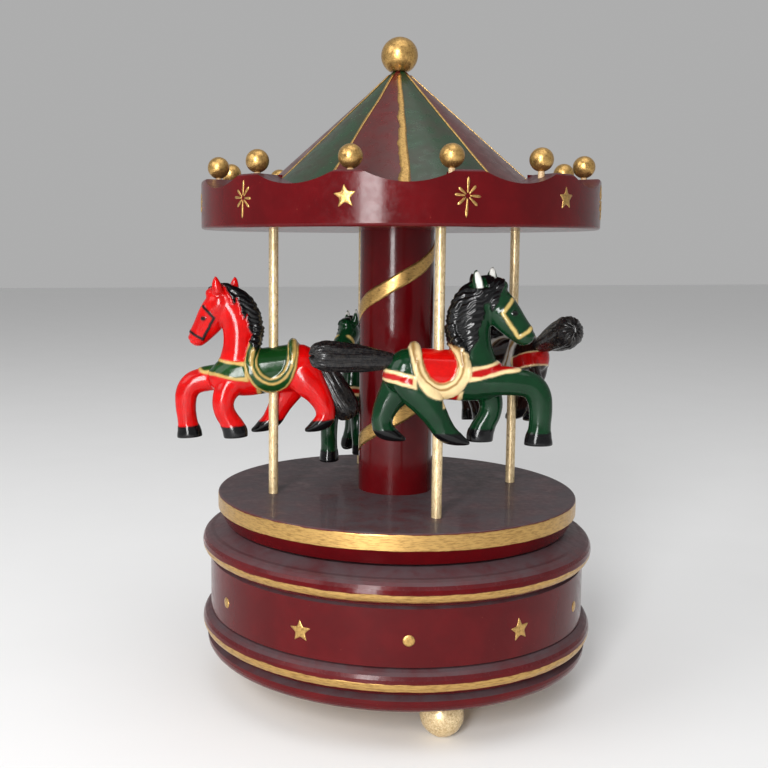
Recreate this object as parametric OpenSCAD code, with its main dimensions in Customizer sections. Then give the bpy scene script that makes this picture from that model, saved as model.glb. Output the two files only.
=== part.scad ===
// Carousel music box: a turned wooden drum on three ball feet holds an 18-note movement.
// Its spring barrel carries the platform, column, canopy and four horses round.
// Origin: on the spindle axis, at the surface the feet stand on. +Z up, front horse at -Y.

/* [Base] */
// Outer diameter over the two rounded rings of the drum
base_d = 108; // [104:1:130]
// Distance the two rounded rings stand out from the drum's waist
ring_out = 2.2; // [1.5:0.1:3.5]
// Height of the drum, without its feet
drum_h = 34.5; // [32:0.1:45]
// Height of each rounded ring of the drum
ring_h = 6.4; // [5:0.1:7]
// Thickness of the drum's wall at the waist
wall_t = 7.8; // [6.5:0.1:8.3]
// Thickness of the wood left under the drum's top
drum_roof = 3.5; // [2.5:0.1:5]
// Thickness of the bottom board
board_t = 4; // [3:0.1:5]
// Diameter of a ball foot
foot_d = 11; // [10:0.1:14]
// Distance of a foot's centre in from the cavity's wall
foot_inset = 3; // [2:0.5:6]
// Depth that a foot is flattened where it meets the board
foot_flat = 0.3; // [0.2:0.05:0.6]
// Depth that a foot is worn flat where it stands
foot_worn = 0.2; // [0.1:0.05:0.4]

/* [Platform] */
// Diameter of the turning platform
platform_d = 99.4; // [92:0.2:104]
// Thickness of the platform
platform_t = 8.1; // [7:0.1:10]
// Height of the platform's upright edge
platform_edge = 4.3; // [3:0.1:5]
// Running gap between the drum and the platform
platform_gap = 0.7; // [0.4:0.1:1.5]

/* [Column and poles] */
// Diameter of the central column
column_d = 20.4; // [16:0.2:25]
// Clear height between the platform and the canopy
pole_clear_h = 72.2; // [68:0.1:90]
// Diameter of a horse pole
pole_d = 2.6; // [2:0.1:3.2]
// Radius of the circle the poles stand on
pole_circle_r = 34.9; // [33:0.1:38]
// Depth of a pole's socket, in the platform and in the canopy
socket_depth = 4; // [3:0.1:5]

/* [Canopy] */
// Diameter of the canopy ring
canopy_d = 108; // [100:1:130]
// Height of the canopy ring up to a crest
canopy_h = 13; // [11:0.1:16]
// Depth of a dip between two crests
dip_depth = 2.9; // [1.5:0.1:3.5]
// Width of the scalloped rim
rim_w = 9.5; // [8:0.1:12]
// Depth of the canopy's recess below a crest
recess_depth = 4.5; // [3.5:0.1:6]
// Gap between the roof cone and the scalloped rim
cone_gap = 4.3; // [1:0.1:8]
// Height of the roof cone
cone_h = 34.5; // [28:0.1:45]
// Radius of the roof cone's rounded tip
cone_tip_r = 3.7; // [3:0.1:5]
// Diameter of the ball on top
finial_d = 10; // [8:0.1:14]
// Depth that the ball on top is flattened where it meets the cone
finial_flat = 0.7; // [0.4:0.1:1]
// Depth that the cone's tip is flattened under the ball
tip_flat = 0.35; // [0.2:0.05:0.6]
// Diameter of a rim ball
rim_ball_d = 5.8; // [4:0.1:7]
// Distance of a rim ball's centre in from the canopy's edge
rim_ball_inset = 4.5; // [3:0.1:6]
// Gap between a crest and its rim ball, bridged by a peg
rim_ball_gap = 0.4; // [0.2:0.1:1]
// Diameter of a rim ball's peg
rim_peg_d = 1.6; // [1:0.1:2.4]
// Length of peg in the ball, and of peg in the crest
rim_peg_hold = 2.4; // [1.5:0.1:2.8]

/* [Horses] */
// Height of the front horse's hooves above the platform
front_lift = 19; // [6:0.2:22]
// Height of the right horse's hooves above the platform
right_lift = 18.3; // [6:0.2:22]
// Height of the back horse's hooves above the platform
back_lift = 5.4; // [4:0.2:22]
// Height of the left horse's hooves above the platform
left_lift = 17; // [6:0.2:22]
// Scale of the horses
horse_scale = 1; // [0.85:0.01:1.08]

/* [Movement] */
// Radius of the spring barrel
barrel_r = 13; // [12:0.1:14]
// Height of the spring barrel
barrel_h = 7.4; // [6:0.1:8]
// Wall of the spring barrel
barrel_wall = 0.9; // [0.6:0.1:1.2]
// Diameter of the winding arbor
arbor_d = 4; // [3:0.1:5]
// Diameter of the output stud
stud_d = 4; // [3:0.1:5]
// Length of the pinned cylinder
cylinder_len = 16; // [14:0.5:17]
// Radius of the pinned cylinder without its pins
cylinder_r = 6.4; // [5.8:0.1:6.6]
// Height of the pins on the cylinder
pin_h = 0.5; // [0.3:0.05:0.6]
// Thickness of the bedplate
bedplate_t = 2; // [1.6:0.1:3]

/* [Clearances] */
// Radial running clearance of a shaft in its bearing
running = 0.05; // [0.02:0.01:0.08]
// Radial clearance of a glued dowel or a screw's body in its hole
fit_gap = 0.05; // [0.02:0.01:0.1]
// Gap between turning pieces that pass each other
passing = 0.4; // [0.3:0.05:1]

/* [Hidden] */
$fn = 96;

// --- heights, from the table up ---
drum_z = foot_d - foot_flat - foot_worn;
drum_top_z = drum_z + drum_h;
board_top_z = drum_z + board_t;
cavity_top_z = drum_top_z - drum_roof;
platform_z = drum_top_z + platform_gap;
platform_top_z = platform_z + platform_t;
canopy_z = platform_top_z + pole_clear_h;
crest_z = canopy_z + canopy_h;
recess_z = crest_z - recess_depth;
cone_top_z = recess_z + cone_h;
finial_z = cone_top_z + finial_d / 2 - finial_flat;
rim_ball_z = crest_z + rim_ball_gap + rim_ball_d / 2;

// --- base ---
base_r = base_d / 2;
waist_r = base_r - ring_out;
cavity_r = waist_r - wall_t;
seat_ledge = 4.4;
seat_r = cavity_r + seat_ledge;
groove_depth = 1;
groove_h = 0.9;
top_flat_r = base_r - 7;
foot_r = foot_d / 2;
foot_centre_z = foot_r - foot_worn;
foot_angles = [-90, 30, 150];
foot_circle_r = cavity_r - foot_inset;
board_fit = 0.15;
board_screw_angles = [-30, 90, 210];
board_screw_r = seat_r - 2.7;
wood_screw_r = 1.1;
wood_screw_head_r = 2.2;
wood_screw_head_h = 1.2;
foot_screw_cover = 0.6;
spindle_hole_r = stud_d / 2 + 1.5;

// --- platform, canopy ---
platform_r = platform_d / 2;
platform_bevel = 2.1;
canopy_r = canopy_d / 2;
rim_ball_circle_r = canopy_r - rim_ball_inset;
cone_r = canopy_r - rim_w - cone_gap;
wave_count = 12;
wave_step = 360 / wave_count;
crest_half_angle = 3.3;
// the rim balls were set by hand, so each stands a few degrees off its crest
rim_ball_drift = [0.5, 1, -1, 1.5, 0, -1, -2.5, -1.6, -0.5, -3.2, -4, 0];
rim_ball_angles = [for (i = [0:wave_count - 1]) i * wave_step + rim_ball_drift[i]];
insert_r = 3.6;
insert_h = 5;
dowel_r = 1.5;
dowel_len = 12;
dowel_offset = column_d / 2 - 4;
cone_dowel_r = 3;
finial_peg_r = 1.2;
peg_hold = 3;
pole_r = pole_d / 2;
pole_end_gap = 0.2;

// --- movement ---
bed_top_z = board_top_z + bedplate_t;
ratchet_z = bed_top_z + 0.3;
ratchet_t = 1.2;
ratchet_teeth = 16;
ratchet_r = 5.5;
ratchet_depth = 1;
tooth_foot = [ratchet_depth - ratchet_r, 0];
click_xy = tooth_foot + [-2.1, 5.2];
click_pivot_r = 0.8;
click_boss_r = 1.6;
click_lift = 12;
barrel_z = ratchet_z + ratchet_t + passing;
barrel_top_z = barrel_z + barrel_h;
cover_t = 0.8;
tooth_pitch_r = 12;
crown_teeth = 36;
pinion_teeth = 12;
pinion_pitch_r = tooth_pitch_r * pinion_teeth / crown_teeth;
crown_module = 2 * tooth_pitch_r / crown_teeth;
crown_root_z = barrel_top_z;
crown_add = 0.8 * crown_module;
crown_ded = 1.05 * crown_module;
crown_face = 2;
cyl_z = crown_root_z + crown_ded + pinion_pitch_r;
cyl_arbor_r = 0.8;
pinion_x = barrel_r - crown_face;
pinion_end_x = barrel_r;
post_t = 1.4;
inner_post_x = barrel_r + 1.2;
cyl_x = inner_post_x + post_t + 0.6;
cyl_end_x = cyl_x + cylinder_len;
wheel_x = cyl_end_x + 0.2;
wheel_t = 1.2;
outer_post_x = wheel_x + wheel_t + 0.6;
gear_module = 0.5;
cyl_wheel_teeth = 32;
gov_pinion_teeth = 8;
gov_wheel_teeth = 16;
gov_y = gear_module * (cyl_wheel_teeth + gov_pinion_teeth) / 2;
gov_x = outer_post_x;
gov_wheel_t = 1.2;
gov_arbor_r = 0.45;
gov_inner_x = wheel_x - 2.2;
gov_outer_x = gov_x + gov_wheel_t + 0.6;
worm_lead = PI * gear_module;
worm_pitch_r = 1.5;
worm_core_r = 1.22;
worm_offset = 0.48;
worm_x = gov_x + gov_wheel_t / 2;
worm_y = gov_y + gear_module * gov_wheel_teeth / 2 + worm_pitch_r;
worm_turns = 4;
worm_len = worm_turns * worm_lead;
worm_z = cyl_z - worm_len / 2;
worm_pivot_r = 0.4;
bracket_top_z = cyl_z + 9;
bracket_y = worm_y + 5;
bracket_screw_y = bracket_y - 1.7;
fan_r = 4.2;
fan_z = cyl_z + 4.2;
fan_h = 3.6;
bridge_w = 8;
bridge_t = 1.2;
bridge_leg_y = barrel_r + 1.6;
bridge_screw_y = bridge_leg_y + 3.3;
bridge_foot_y = bridge_leg_y + 5.6;
bridge_z = crown_root_z + crown_ded + crown_add + 1.4;
stud_top_z = platform_z + insert_h + 0.6;
comb_teeth = 18;
comb_gap = 0.3;
comb_tooth_len = 9;
comb_t = 0.9;
comb_body = 5;
comb_tip_y = -(cylinder_r + pin_h + 0.12);
comb_root_y = comb_tip_y - comb_tooth_len;
comb_back_y = comb_root_y - comb_body;
comb_pitch = (cylinder_len - 0.6) / comb_teeth;
machine_screw_r = 1;
machine_head_r = 1.9;
machine_head_h = 1;
key_span = 17;
key_t = 1.8;
key_z = 2.2;
key_h = 5.4;

// --- horses: x, y, heading, height of the hooves, how far the nose is tipped down ---
front_place = [0, -pole_circle_r, -10, platform_top_z + front_lift, 0];
right_place = [pole_circle_r, 0, 106, platform_top_z + right_lift, 8];
back_place = [0, pole_circle_r, 239, platform_top_z + back_lift, 0];
left_place = [-pole_circle_r, 0, 166, platform_top_z + left_lift, 4.5];
tip_centre = [0, 0, 14];

maroon = [0.42, 0.02, 0.04];
gold = [0.78, 0.58, 0.3];
bare_wood = [0.78, 0.62, 0.42];
zinc = [0.72, 0.72, 0.7];
brass_col = [0.8, 0.62, 0.3];
steel = [0.6, 0.6, 0.62];
horse_green = [0.02, 0.22, 0.09];
horse_red = [0.85, 0.03, 0.03];
horse_dark = [0.07, 0.035, 0.03];
hair_black = [0.03, 0.03, 0.03];

// ---------- helpers ----------

// n points on a circle arc, from angle a0 to a1
function arc(c, r, a0, a1, n) =
    [for (i = [0:n]) let (a = a0 + (a1 - a0) * i / n) [c[0] + r * cos(a), c[1] + r * sin(a)]];

// half-ellipse bulge standing out of a turned wall, from height z0 to z1
function bulge(r_in, r_out, z0, z1, n = 10) =
    [for (i = [0:n]) let (a = -90 + 180 * i / n)
        [r_in + (r_out - r_in) * cos(a), (z0 + z1) / 2 + (z1 - z0) / 2 * sin(a)]];

module at_angles(angles, r) {
    for (a = angles) rotate([0, 0, a]) translate([r, 0, 0]) children();
}

module rod(r, z0, z1) {
    translate([0, 0, z0]) cylinder(r = r, h = z1 - z0);
}

// rod along X, centred on y, z
module x_rod(r, x0, x1, y, z) {
    translate([x0, y, z]) rotate([0, 90, 0]) cylinder(r = r, h = x1 - x0);
}

module block(x0, x1, y0, y1, z0, z1) {
    translate([x0, y0, z0]) cube([x1 - x0, y1 - y0, z1 - z0]);
}

// spur gear outline with straight-sided teeth; the first tooth points along +X
module gear_outline(teeth, mod) {
    pitch_r = teeth * mod / 2;
    tip = pitch_r + 0.8 * mod;
    root = pitch_r - 1.05 * mod;
    step = 360 / teeth;
    polygon([for (i = [0:teeth - 1]) each [
        for (p = [[root, -0.36], [tip, -0.13], [tip, 0.13], [root, 0.36]])
            let (a = (i + p[1]) * step) [p[0] * cos(a), p[0] * sin(a)]]]);
}

// swept limb in the XZ plane: stations are [x, z, half height, half width, y]
module limb(st, sides = 10) {
    n = len(st);
    function dir(i) =
        let (a = st[max(i - 1, 0)], b = st[min(i + 1, n - 1)], l = norm([b[0] - a[0], b[1] - a[1]]))
        [(b[0] - a[0]) / l, (b[1] - a[1]) / l];
    rings = [for (i = [0:n - 1]) let (d = dir(i)) for (k = [0:sides - 1])
        let (t = 360 * k / sides, s = st[i])
        [s[0] - d[1] * s[2] * cos(t), s[4] + s[3] * sin(t), s[1] + d[0] * s[2] * cos(t)]];
    walls = [for (i = [0:n - 2]) for (k = [0:sides - 1])
        let (j = (k + 1) % sides, a = i * sides, b = a + sides)
        each [[a + k, a + j, b + j], [a + k, b + j, b + k]]];
    low = [for (k = [0:sides - 1]) sides - 1 - k];
    high = [for (k = [0:sides - 1]) (n - 1) * sides + k];
    polyhedron(points = rings, faces = concat(walls, [low], [high]), convexity = 4);
}

// a horse's figure, scaled and tipped about its own middle
module tipped(place) {
    translate(tip_centre) rotate([0, place[4], 0]) translate(-tip_centre) scale(horse_scale) children();
}

module on_pole(place) {
    translate([place[0], place[1], place[3]]) rotate([0, 0, place[2]]) children();
}

// ---------- base ----------

module base_drum() {
    ring_in = waist_r - groove_depth;
    low_ring_z = drum_z + 4.6;
    high_ring_z = drum_top_z - ring_h - 1.6;
    profile = concat(
        [[cavity_r, drum_z], [base_r - 3.6, drum_z]],
        arc([base_r - 4.2, drum_z + 2.8], 3, -70, 10, 5),
        [[ring_in, low_ring_z - 0.4], [ring_in, low_ring_z]],
        bulge(ring_in, base_r, low_ring_z, low_ring_z + ring_h),
        [[waist_r, low_ring_z + ring_h + 0.3], [waist_r, high_ring_z - groove_h]],
        [[ring_in, high_ring_z - groove_h / 2]],
        bulge(ring_in, base_r, high_ring_z, high_ring_z + ring_h),
        [[top_flat_r, drum_top_z], [spindle_hole_r, drum_top_z]],
        [[spindle_hole_r, cavity_top_z], [cavity_r, cavity_top_z]]);
    color(maroon)
    difference() {
        rotate_extrude() polygon(profile);
        rod(seat_r, drum_z - 1, board_top_z);
        at_angles(board_screw_angles, board_screw_r)
            rod(wood_screw_r + fit_gap, board_top_z - 1, board_top_z + 7.2);
    }
}

module bottom_board() {
    color(bare_wood)
    difference() {
        rod(seat_r - board_fit, drum_z, board_top_z);
        rod(arbor_d / 2 + 0.6, drum_z - 1, board_top_z + 1);
        at_angles(board_screw_angles, board_screw_r) {
            rod(wood_screw_r + fit_gap, drum_z - 1, board_top_z + 1);
            rod(wood_screw_head_r + fit_gap, drum_z - 1, drum_z + wood_screw_head_h + 0.1);
        }
        at_angles(foot_angles, foot_circle_r)
            rod(wood_screw_r + fit_gap, drum_z - 1, board_top_z - foot_screw_cover);
        bed_screw_places() rod(machine_screw_r + fit_gap, drum_z - 1, board_top_z + 1);
        bed_screw_places() rod(machine_head_r + fit_gap, drum_z - 1, drum_z + machine_head_h + 0.1);
    }
}

module board_screws() {
    color(steel)
    at_angles(board_screw_angles, board_screw_r) {
        rod(wood_screw_r, drum_z + wood_screw_head_h / 2, board_top_z + 7);
        rod(wood_screw_head_r, drum_z + 0.1, drum_z + wood_screw_head_h);
    }
}

module ball_feet() {
    color(bare_wood)
    at_angles(foot_angles, foot_circle_r)
    difference() {
        translate([0, 0, foot_centre_z]) sphere(r = foot_r);
        rod(foot_r + 1, drum_z, foot_d + 1);
        rod(foot_r + 1, -1, 0);
        rod(wood_screw_r + fit_gap, foot_centre_z - 1.6, foot_d + 1);
    }
}

// headless screws, threaded at both ends
module foot_screws() {
    color(steel)
    at_angles(foot_angles, foot_circle_r)
        rod(wood_screw_r, foot_centre_z - 1.4, board_top_z - foot_screw_cover - 0.2);
}

// ---------- movement ----------

module bed_screw_places() {
    for (p = [[-11, -9.5], [-11, 9.5], [outer_post_x - 2, -12]])
        translate([p[0], p[1], 0]) children();
}

module bedplate() {
    post_top = cyl_z + 2;
    color(zinc)
    difference() {
        union() {
            block(-15, outer_post_x + 3.2, -bridge_foot_y - 0.3, bracket_y + 1.2, board_top_z, bed_top_z);
            block(cyl_x, cyl_end_x, comb_back_y, comb_root_y + 0.4, board_top_z, cyl_z - comb_t / 2);
            block(inner_post_x, inner_post_x + post_t, -3, 3, board_top_z, post_top);
            block(outer_post_x, outer_post_x + post_t, -3, 2.4, board_top_z, post_top);
            block(gov_inner_x, gov_inner_x + 1, gov_y - 1.9, gov_y + 2, board_top_z, post_top);
            block(gov_outer_x, gov_outer_x + 1, gov_y - 1.9, gov_y + 2, board_top_z, post_top);
            translate([worm_x, worm_y, 0]) rod(1.6, board_top_z, bed_top_z + 2);
            translate([click_xy[0], click_xy[1], 0]) rod(click_boss_r, board_top_z, ratchet_z);
        }
        rod(arbor_d / 2 + running, board_top_z - 1, bed_top_z + 1);
        x_rod(cyl_arbor_r + running, inner_post_x - 1, outer_post_x + post_t + 1, 0, cyl_z);
        x_rod(gov_arbor_r + running, gov_inner_x - 1, gov_outer_x + 2, gov_y, cyl_z);
        translate([worm_x, worm_y, 0]) rod(worm_pivot_r + running, bed_top_z - 0.5, bed_top_z + 3);
        translate([click_xy[0], click_xy[1], 0])
            rod(click_pivot_r + fit_gap, board_top_z + 0.4, ratchet_z + 1);
        bed_screw_places() rod(machine_screw_r + fit_gap, board_top_z - 1, bed_top_z + 1);
        comb_screw_places() rod(machine_screw_r + fit_gap, cyl_z - 5.2, cyl_z + 1);
        bridge_screw_places() rod(machine_screw_r + fit_gap, board_top_z + 0.3, bed_top_z + 1);
        translate([worm_x, bracket_screw_y, 0])
            rod(machine_screw_r + fit_gap, board_top_z + 0.3, bed_top_z + 1);
    }
}

module bedplate_screws() {
    color(steel)
    bed_screw_places() {
        rod(machine_screw_r, drum_z + machine_head_h / 2, bed_top_z - 0.1);
        rod(machine_head_r, drum_z + 0.1, drum_z + machine_head_h);
    }
}

module barrel() {
    color(brass_col)
    difference() {
        union() {
            rod(barrel_r, barrel_z + cover_t, barrel_top_z);
            for (i = [0:crown_teeth - 1]) rotate([0, 0, (i + 0.5) * 360 / crown_teeth]) crown_tooth();
        }
        rod(barrel_r - barrel_wall, barrel_z, barrel_top_z - 1);
        rod(stud_d / 2, barrel_top_z - 2, barrel_top_z + 1);
    }
}

// one upright tooth of the crown wheel on the barrel's upper edge
module crown_tooth() {
    root_w = 0.3 * crown_module * PI;
    tip_w = 0.12 * crown_module * PI;
    h = crown_ded + crown_add;
    translate([pinion_x, 0, crown_root_z])
    rotate([90, 0, 90])
    linear_extrude(crown_face - 0.3)
    polygon([[-root_w, -0.2], [root_w, -0.2], [root_w, 0], [tip_w, h], [-tip_w, h], [-root_w, 0]]);
}

module barrel_cover() {
    color(brass_col)
    difference() {
        rod(barrel_r - 0.2, barrel_z, barrel_z + cover_t);
        rod(arbor_d / 2 + running, barrel_z - 1, barrel_z + 2);
    }
}

// flat spring wound in the barrel, from the arbor out to the wall
module mainspring() {
    turns = 5;
    steps = turns * 20;
    r_in = arbor_d / 2 + 1;
    r_out = barrel_r - barrel_wall - 0.5;
    half_t = 0.22;
    function at(i, s) = let (r = r_in + (r_out - r_in) * i / steps + s * half_t, a = 360 * turns * i / steps)
        [r * cos(a), r * sin(a)];
    color(steel)
    translate([0, 0, barrel_z + cover_t + 0.3])
    linear_extrude(barrel_h - cover_t - 1.6)
    polygon(concat([for (i = [0:steps]) at(i, 1)], [for (i = [0:steps]) at(steps - i, -1)]));
}

module bridge_screw_places() {
    for (s = [-1, 1]) translate([0, s * bridge_screw_y, 0]) children();
}

module barrel_bridge() {
    half = bridge_w / 2;
    color(steel)
    difference() {
        union() {
            block(-half, half, -bridge_leg_y - bridge_t, bridge_leg_y + bridge_t, bridge_z, bridge_z + bridge_t);
            for (s = [0, 1]) mirror([0, s, 0]) {
                block(-half, half, bridge_leg_y, bridge_leg_y + bridge_t, bed_top_z, bridge_z + bridge_t);
                block(-half, half, bridge_leg_y, bridge_foot_y, bed_top_z, bed_top_z + bridge_t);
            }
        }
        rod(stud_d / 2 + running, bridge_z - 1, bridge_z + bridge_t + 1);
        bridge_screw_places() rod(machine_screw_r + fit_gap, bed_top_z - 1, bed_top_z + bridge_t + 1);
    }
}

module bridge_screws() {
    color(steel)
    bridge_screw_places() {
        rod(machine_screw_r, board_top_z + 0.4, bed_top_z + bridge_t + 0.2);
        rod(machine_head_r, bed_top_z + bridge_t, bed_top_z + bridge_t + machine_head_h);
    }
}

module output_stud() {
    color(steel)
    rod(stud_d / 2, barrel_top_z - 1, stud_top_z);
}

module winding_arbor() {
    color(steel)
    difference() {
        rod(arbor_d / 2, key_z + 0.6, barrel_top_z - 1.4);
        rotate([0, 0, 45]) block(0.9, 3, -3, 3, ratchet_z + ratchet_t + 0.2, barrel_top_z);
    }
}

module ratchet_wheel() {
    color(steel)
    translate([0, 0, ratchet_z])
    linear_extrude(ratchet_t)
    difference() {
        polygon([for (i = [0:ratchet_teeth - 1]) each [
            for (p = [[ratchet_r - ratchet_depth, 0], [ratchet_r, 0.1]])
                let (a = (i + p[1]) * 360 / ratchet_teeth) [p[0] * cos(a), p[0] * sin(a)]]]);
        circle(r = arbor_d / 2);
    }
}

// The click falls against a steep tooth face and lets the wheel turn one way only.
// It is drawn lifted clear of the teeth, as it stands while the key is wound.
module click() {
    reach = [[-0.25, 0.14], [-0.5, 0.55], [-0.95, 1.9], [-1.25, 4.5], [-3.1, 4.4], [-1.1, 0.2]];
    color(brass_col)
    translate([click_xy[0], click_xy[1], ratchet_z + 0.1])
    rotate([0, 0, -click_lift])
    linear_extrude(ratchet_t - 0.2)
    difference() {
        union() {
            circle(r = click_boss_r);
            polygon([for (p = reach) tooth_foot + p - click_xy]);
        }
        circle(r = click_pivot_r + running);
    }
}

module click_screw() {
    color(steel)
    translate([click_xy[0], click_xy[1], 0]) {
        rod(click_pivot_r, board_top_z + 0.5, ratchet_z + ratchet_t);
        rod(1.3, ratchet_z + ratchet_t - 0.05, ratchet_z + ratchet_t + 0.15);
    }
}

// folded T-shaped key on the arbor, between the feet
module winding_key() {
    color(brass_col)
    difference() {
        union() {
            rod(3.2, key_z - 0.6, key_z + key_h);
            for (s = [0, 1]) mirror([s, 0, 0])
                translate([0, -key_t / 2, 0])
                rotate([-90, 0, 0])
                linear_extrude(key_t)
                translate([0, -key_z - key_h / 2])
                union() {
                    translate([2.4, -1.3]) square([key_span / 2 - 5, 2.6]);
                    translate([key_span / 2 - 2.6, 0]) circle(r = key_h / 2);
                }
        }
        rod(arbor_d / 2, key_z + 0.6, key_z + key_h + 1);
    }
}

module pinned_cylinder() {
    tracks = comb_teeth;
    color(brass_col)
    difference() {
        union() {
            x_rod(cylinder_r, cyl_x, cyl_end_x, 0, cyl_z);
            for (i = [0:tracks - 1]) for (k = [0:2])
                translate([cyl_x + 0.3 + (i + 0.5) * comb_pitch, 0, cyl_z])
                rotate([(i * i * 37 + k * 131 + i * 53) % 360, 0, 0])
                rod(0.16, cylinder_r - 0.4, cylinder_r + pin_h);
        }
        x_rod(cyl_arbor_r, cyl_x - 1, cyl_end_x + 1, 0, cyl_z);
    }
}

// gear standing across X at x0, with a gear tooth pointing along +Y turned by phase
module x_gear(teeth, mod, x0, t, y, phase, bore_r) {
    translate([x0, y, cyl_z])
    rotate([90, 0, 90])
    linear_extrude(t)
    difference() {
        rotate(phase) gear_outline(teeth, mod);
        circle(r = bore_r);
    }
}

module cylinder_pinion() {
    color(steel)
    x_gear(pinion_teeth, crown_module, pinion_x, crown_face - 0.1, 0, -90, cyl_arbor_r);
}

module cylinder_wheel() {
    color(brass_col)
    x_gear(cyl_wheel_teeth, gear_module, wheel_x, wheel_t, 0, 0, cyl_arbor_r);
}

module cylinder_arbor() {
    color(steel)
    x_rod(cyl_arbor_r, pinion_x - 0.3, outer_post_x + post_t + 0.3, 0, cyl_z);
}

module comb_screw_places() {
    for (x = [cyl_x + 4, cyl_end_x - 4]) translate([x, comb_back_y + 2.4, 0]) children();
}

module comb() {
    color(steel)
    translate([0, 0, cyl_z - comb_t / 2])
    difference() {
        union() {
            block(cyl_x, cyl_end_x, comb_back_y, comb_root_y, 0, comb_t);
            for (i = [0:comb_teeth - 1])
                block(cyl_x + 0.3 + i * comb_pitch + comb_gap / 2,
                      cyl_x + 0.3 + (i + 1) * comb_pitch - comb_gap / 2,
                      comb_root_y - 0.5, comb_tip_y, 0.1, comb_t - 0.2);
        }
        comb_screw_places() rod(machine_screw_r + fit_gap, -1, comb_t + 1);
    }
}

module comb_screws() {
    color(steel)
    comb_screw_places() {
        rod(machine_screw_r, cyl_z - 5, cyl_z + comb_t / 2 + 0.2);
        rod(machine_head_r, cyl_z + comb_t / 2, cyl_z + comb_t / 2 + machine_head_h);
    }
}

module governor_wheel() {
    color(brass_col)
    difference() {
        union() {
            x_gear(gov_wheel_teeth, gear_module, gov_x, gov_wheel_t, gov_y, 0, gov_arbor_r);
            x_gear(gov_pinion_teeth, gear_module, wheel_x, wheel_t, gov_y, 22.5, gov_arbor_r);
            x_rod(1, wheel_x + wheel_t / 2, gov_x + gov_wheel_t / 2, gov_y, cyl_z);
        }
        x_rod(gov_arbor_r, wheel_x - 1, gov_x + gov_wheel_t + 1, gov_y, cyl_z);
    }
}

module governor_arbor() {
    color(steel)
    x_rod(gov_arbor_r, gov_inner_x - 0.1, gov_outer_x + 1.1, gov_y, cyl_z);
}

// single-start worm: an off-centre core that winds once round in each lead
module worm() {
    color(steel)
    translate([worm_x, worm_y, 0]) {
        translate([0, 0, worm_z])
        linear_extrude(worm_len, twist = -360 * worm_turns, slices = 14 * worm_turns, $fn = 16)
        rotate(90) translate([worm_offset, 0]) circle(r = worm_core_r, $fn = 16);
        rod(worm_pivot_r, bed_top_z - 0.3, bracket_top_z + 0.6);
    }
}

module air_brake() {
    hub_r = 1.1;
    color(steel)
    translate([worm_x, worm_y, 0])
    difference() {
        union() {
            rod(hub_r, fan_z, fan_z + fan_h);
            block(-fan_r, fan_r, -0.2, 0.2, fan_z, fan_z + fan_h);
        }
        rod(worm_pivot_r, fan_z - 1, fan_z + fan_h + 1);
    }
}

module governor_bracket() {
    color(zinc)
    translate([worm_x, 0, 0])
    difference() {
        union() {
            block(-2.4, 2.4, bracket_y, bracket_y + 1, bed_top_z, bracket_top_z + 1);
            block(-2.4, 2.4, worm_y - 1.6, bracket_y + 1, bracket_top_z, bracket_top_z + 1);
            block(-2.4, 2.4, bracket_y - 3.2, bracket_y + 1, bed_top_z, bed_top_z + 0.8);
        }
        translate([0, worm_y, 0]) rod(worm_pivot_r + running, bracket_top_z - 1, bracket_top_z + 2);
        translate([0, bracket_screw_y, 0]) rod(machine_screw_r + fit_gap, bed_top_z - 1, bed_top_z + 2);
    }
}

module bracket_screws() {
    color(steel)
    translate([worm_x, bracket_screw_y, 0]) {
        rod(machine_screw_r, board_top_z + 0.4, bed_top_z + 1);
        rod(1.5, bed_top_z + 0.8, bed_top_z + 1.6);
    }
}

// ---------- what turns ----------

module platform() {
    low_z = platform_z;
    top_z = platform_top_z;
    edge_r = 0.7;
    color(maroon)
    difference() {
        rotate_extrude()
        polygon(concat(
            [[0, low_z], [platform_r - platform_bevel, low_z], [platform_r, top_z - platform_edge]],
            arc([platform_r - edge_r, top_z - edge_r], edge_r, 0, 90, 5),
            [[0, top_z]]));
        rod(insert_r + fit_gap, low_z - 1, low_z + insert_h);
        rod(stud_d / 2 + fit_gap, low_z, low_z + insert_h + 1);
        at_angles([-90, 0, 90, 180], pole_circle_r) rod(pole_r + running, top_z - socket_depth, top_z + 1);
        dowel_places() rod(dowel_r + fit_gap, top_z - 3.1, top_z + 1);
    }
}

module dowel_places() {
    for (s = [-1, 1]) translate([s * dowel_offset, 0, 0]) children();
}

module platform_insert() {
    color(brass_col)
    difference() {
        rod(insert_r, platform_z, platform_z + insert_h - 0.1);
        rod(stud_d / 2, platform_z - 1, platform_z + insert_h + 1);
    }
}

module column() {
    color(maroon)
    difference() {
        rod(column_d / 2, platform_top_z, canopy_z);
        dowel_places() rod(dowel_r + fit_gap, platform_top_z - 1, platform_top_z + dowel_len - 3);
        dowel_places() rod(dowel_r + fit_gap, canopy_z - dowel_len / 2 - 0.2, canopy_z + 1);
    }
}

module column_dowels() {
    color(bare_wood)
    dowel_places() {
        rod(dowel_r, platform_top_z - 3, platform_top_z + dowel_len - 3.2);
        rod(dowel_r, canopy_z - dowel_len / 2, canopy_z + dowel_len / 2);
    }
}

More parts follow.
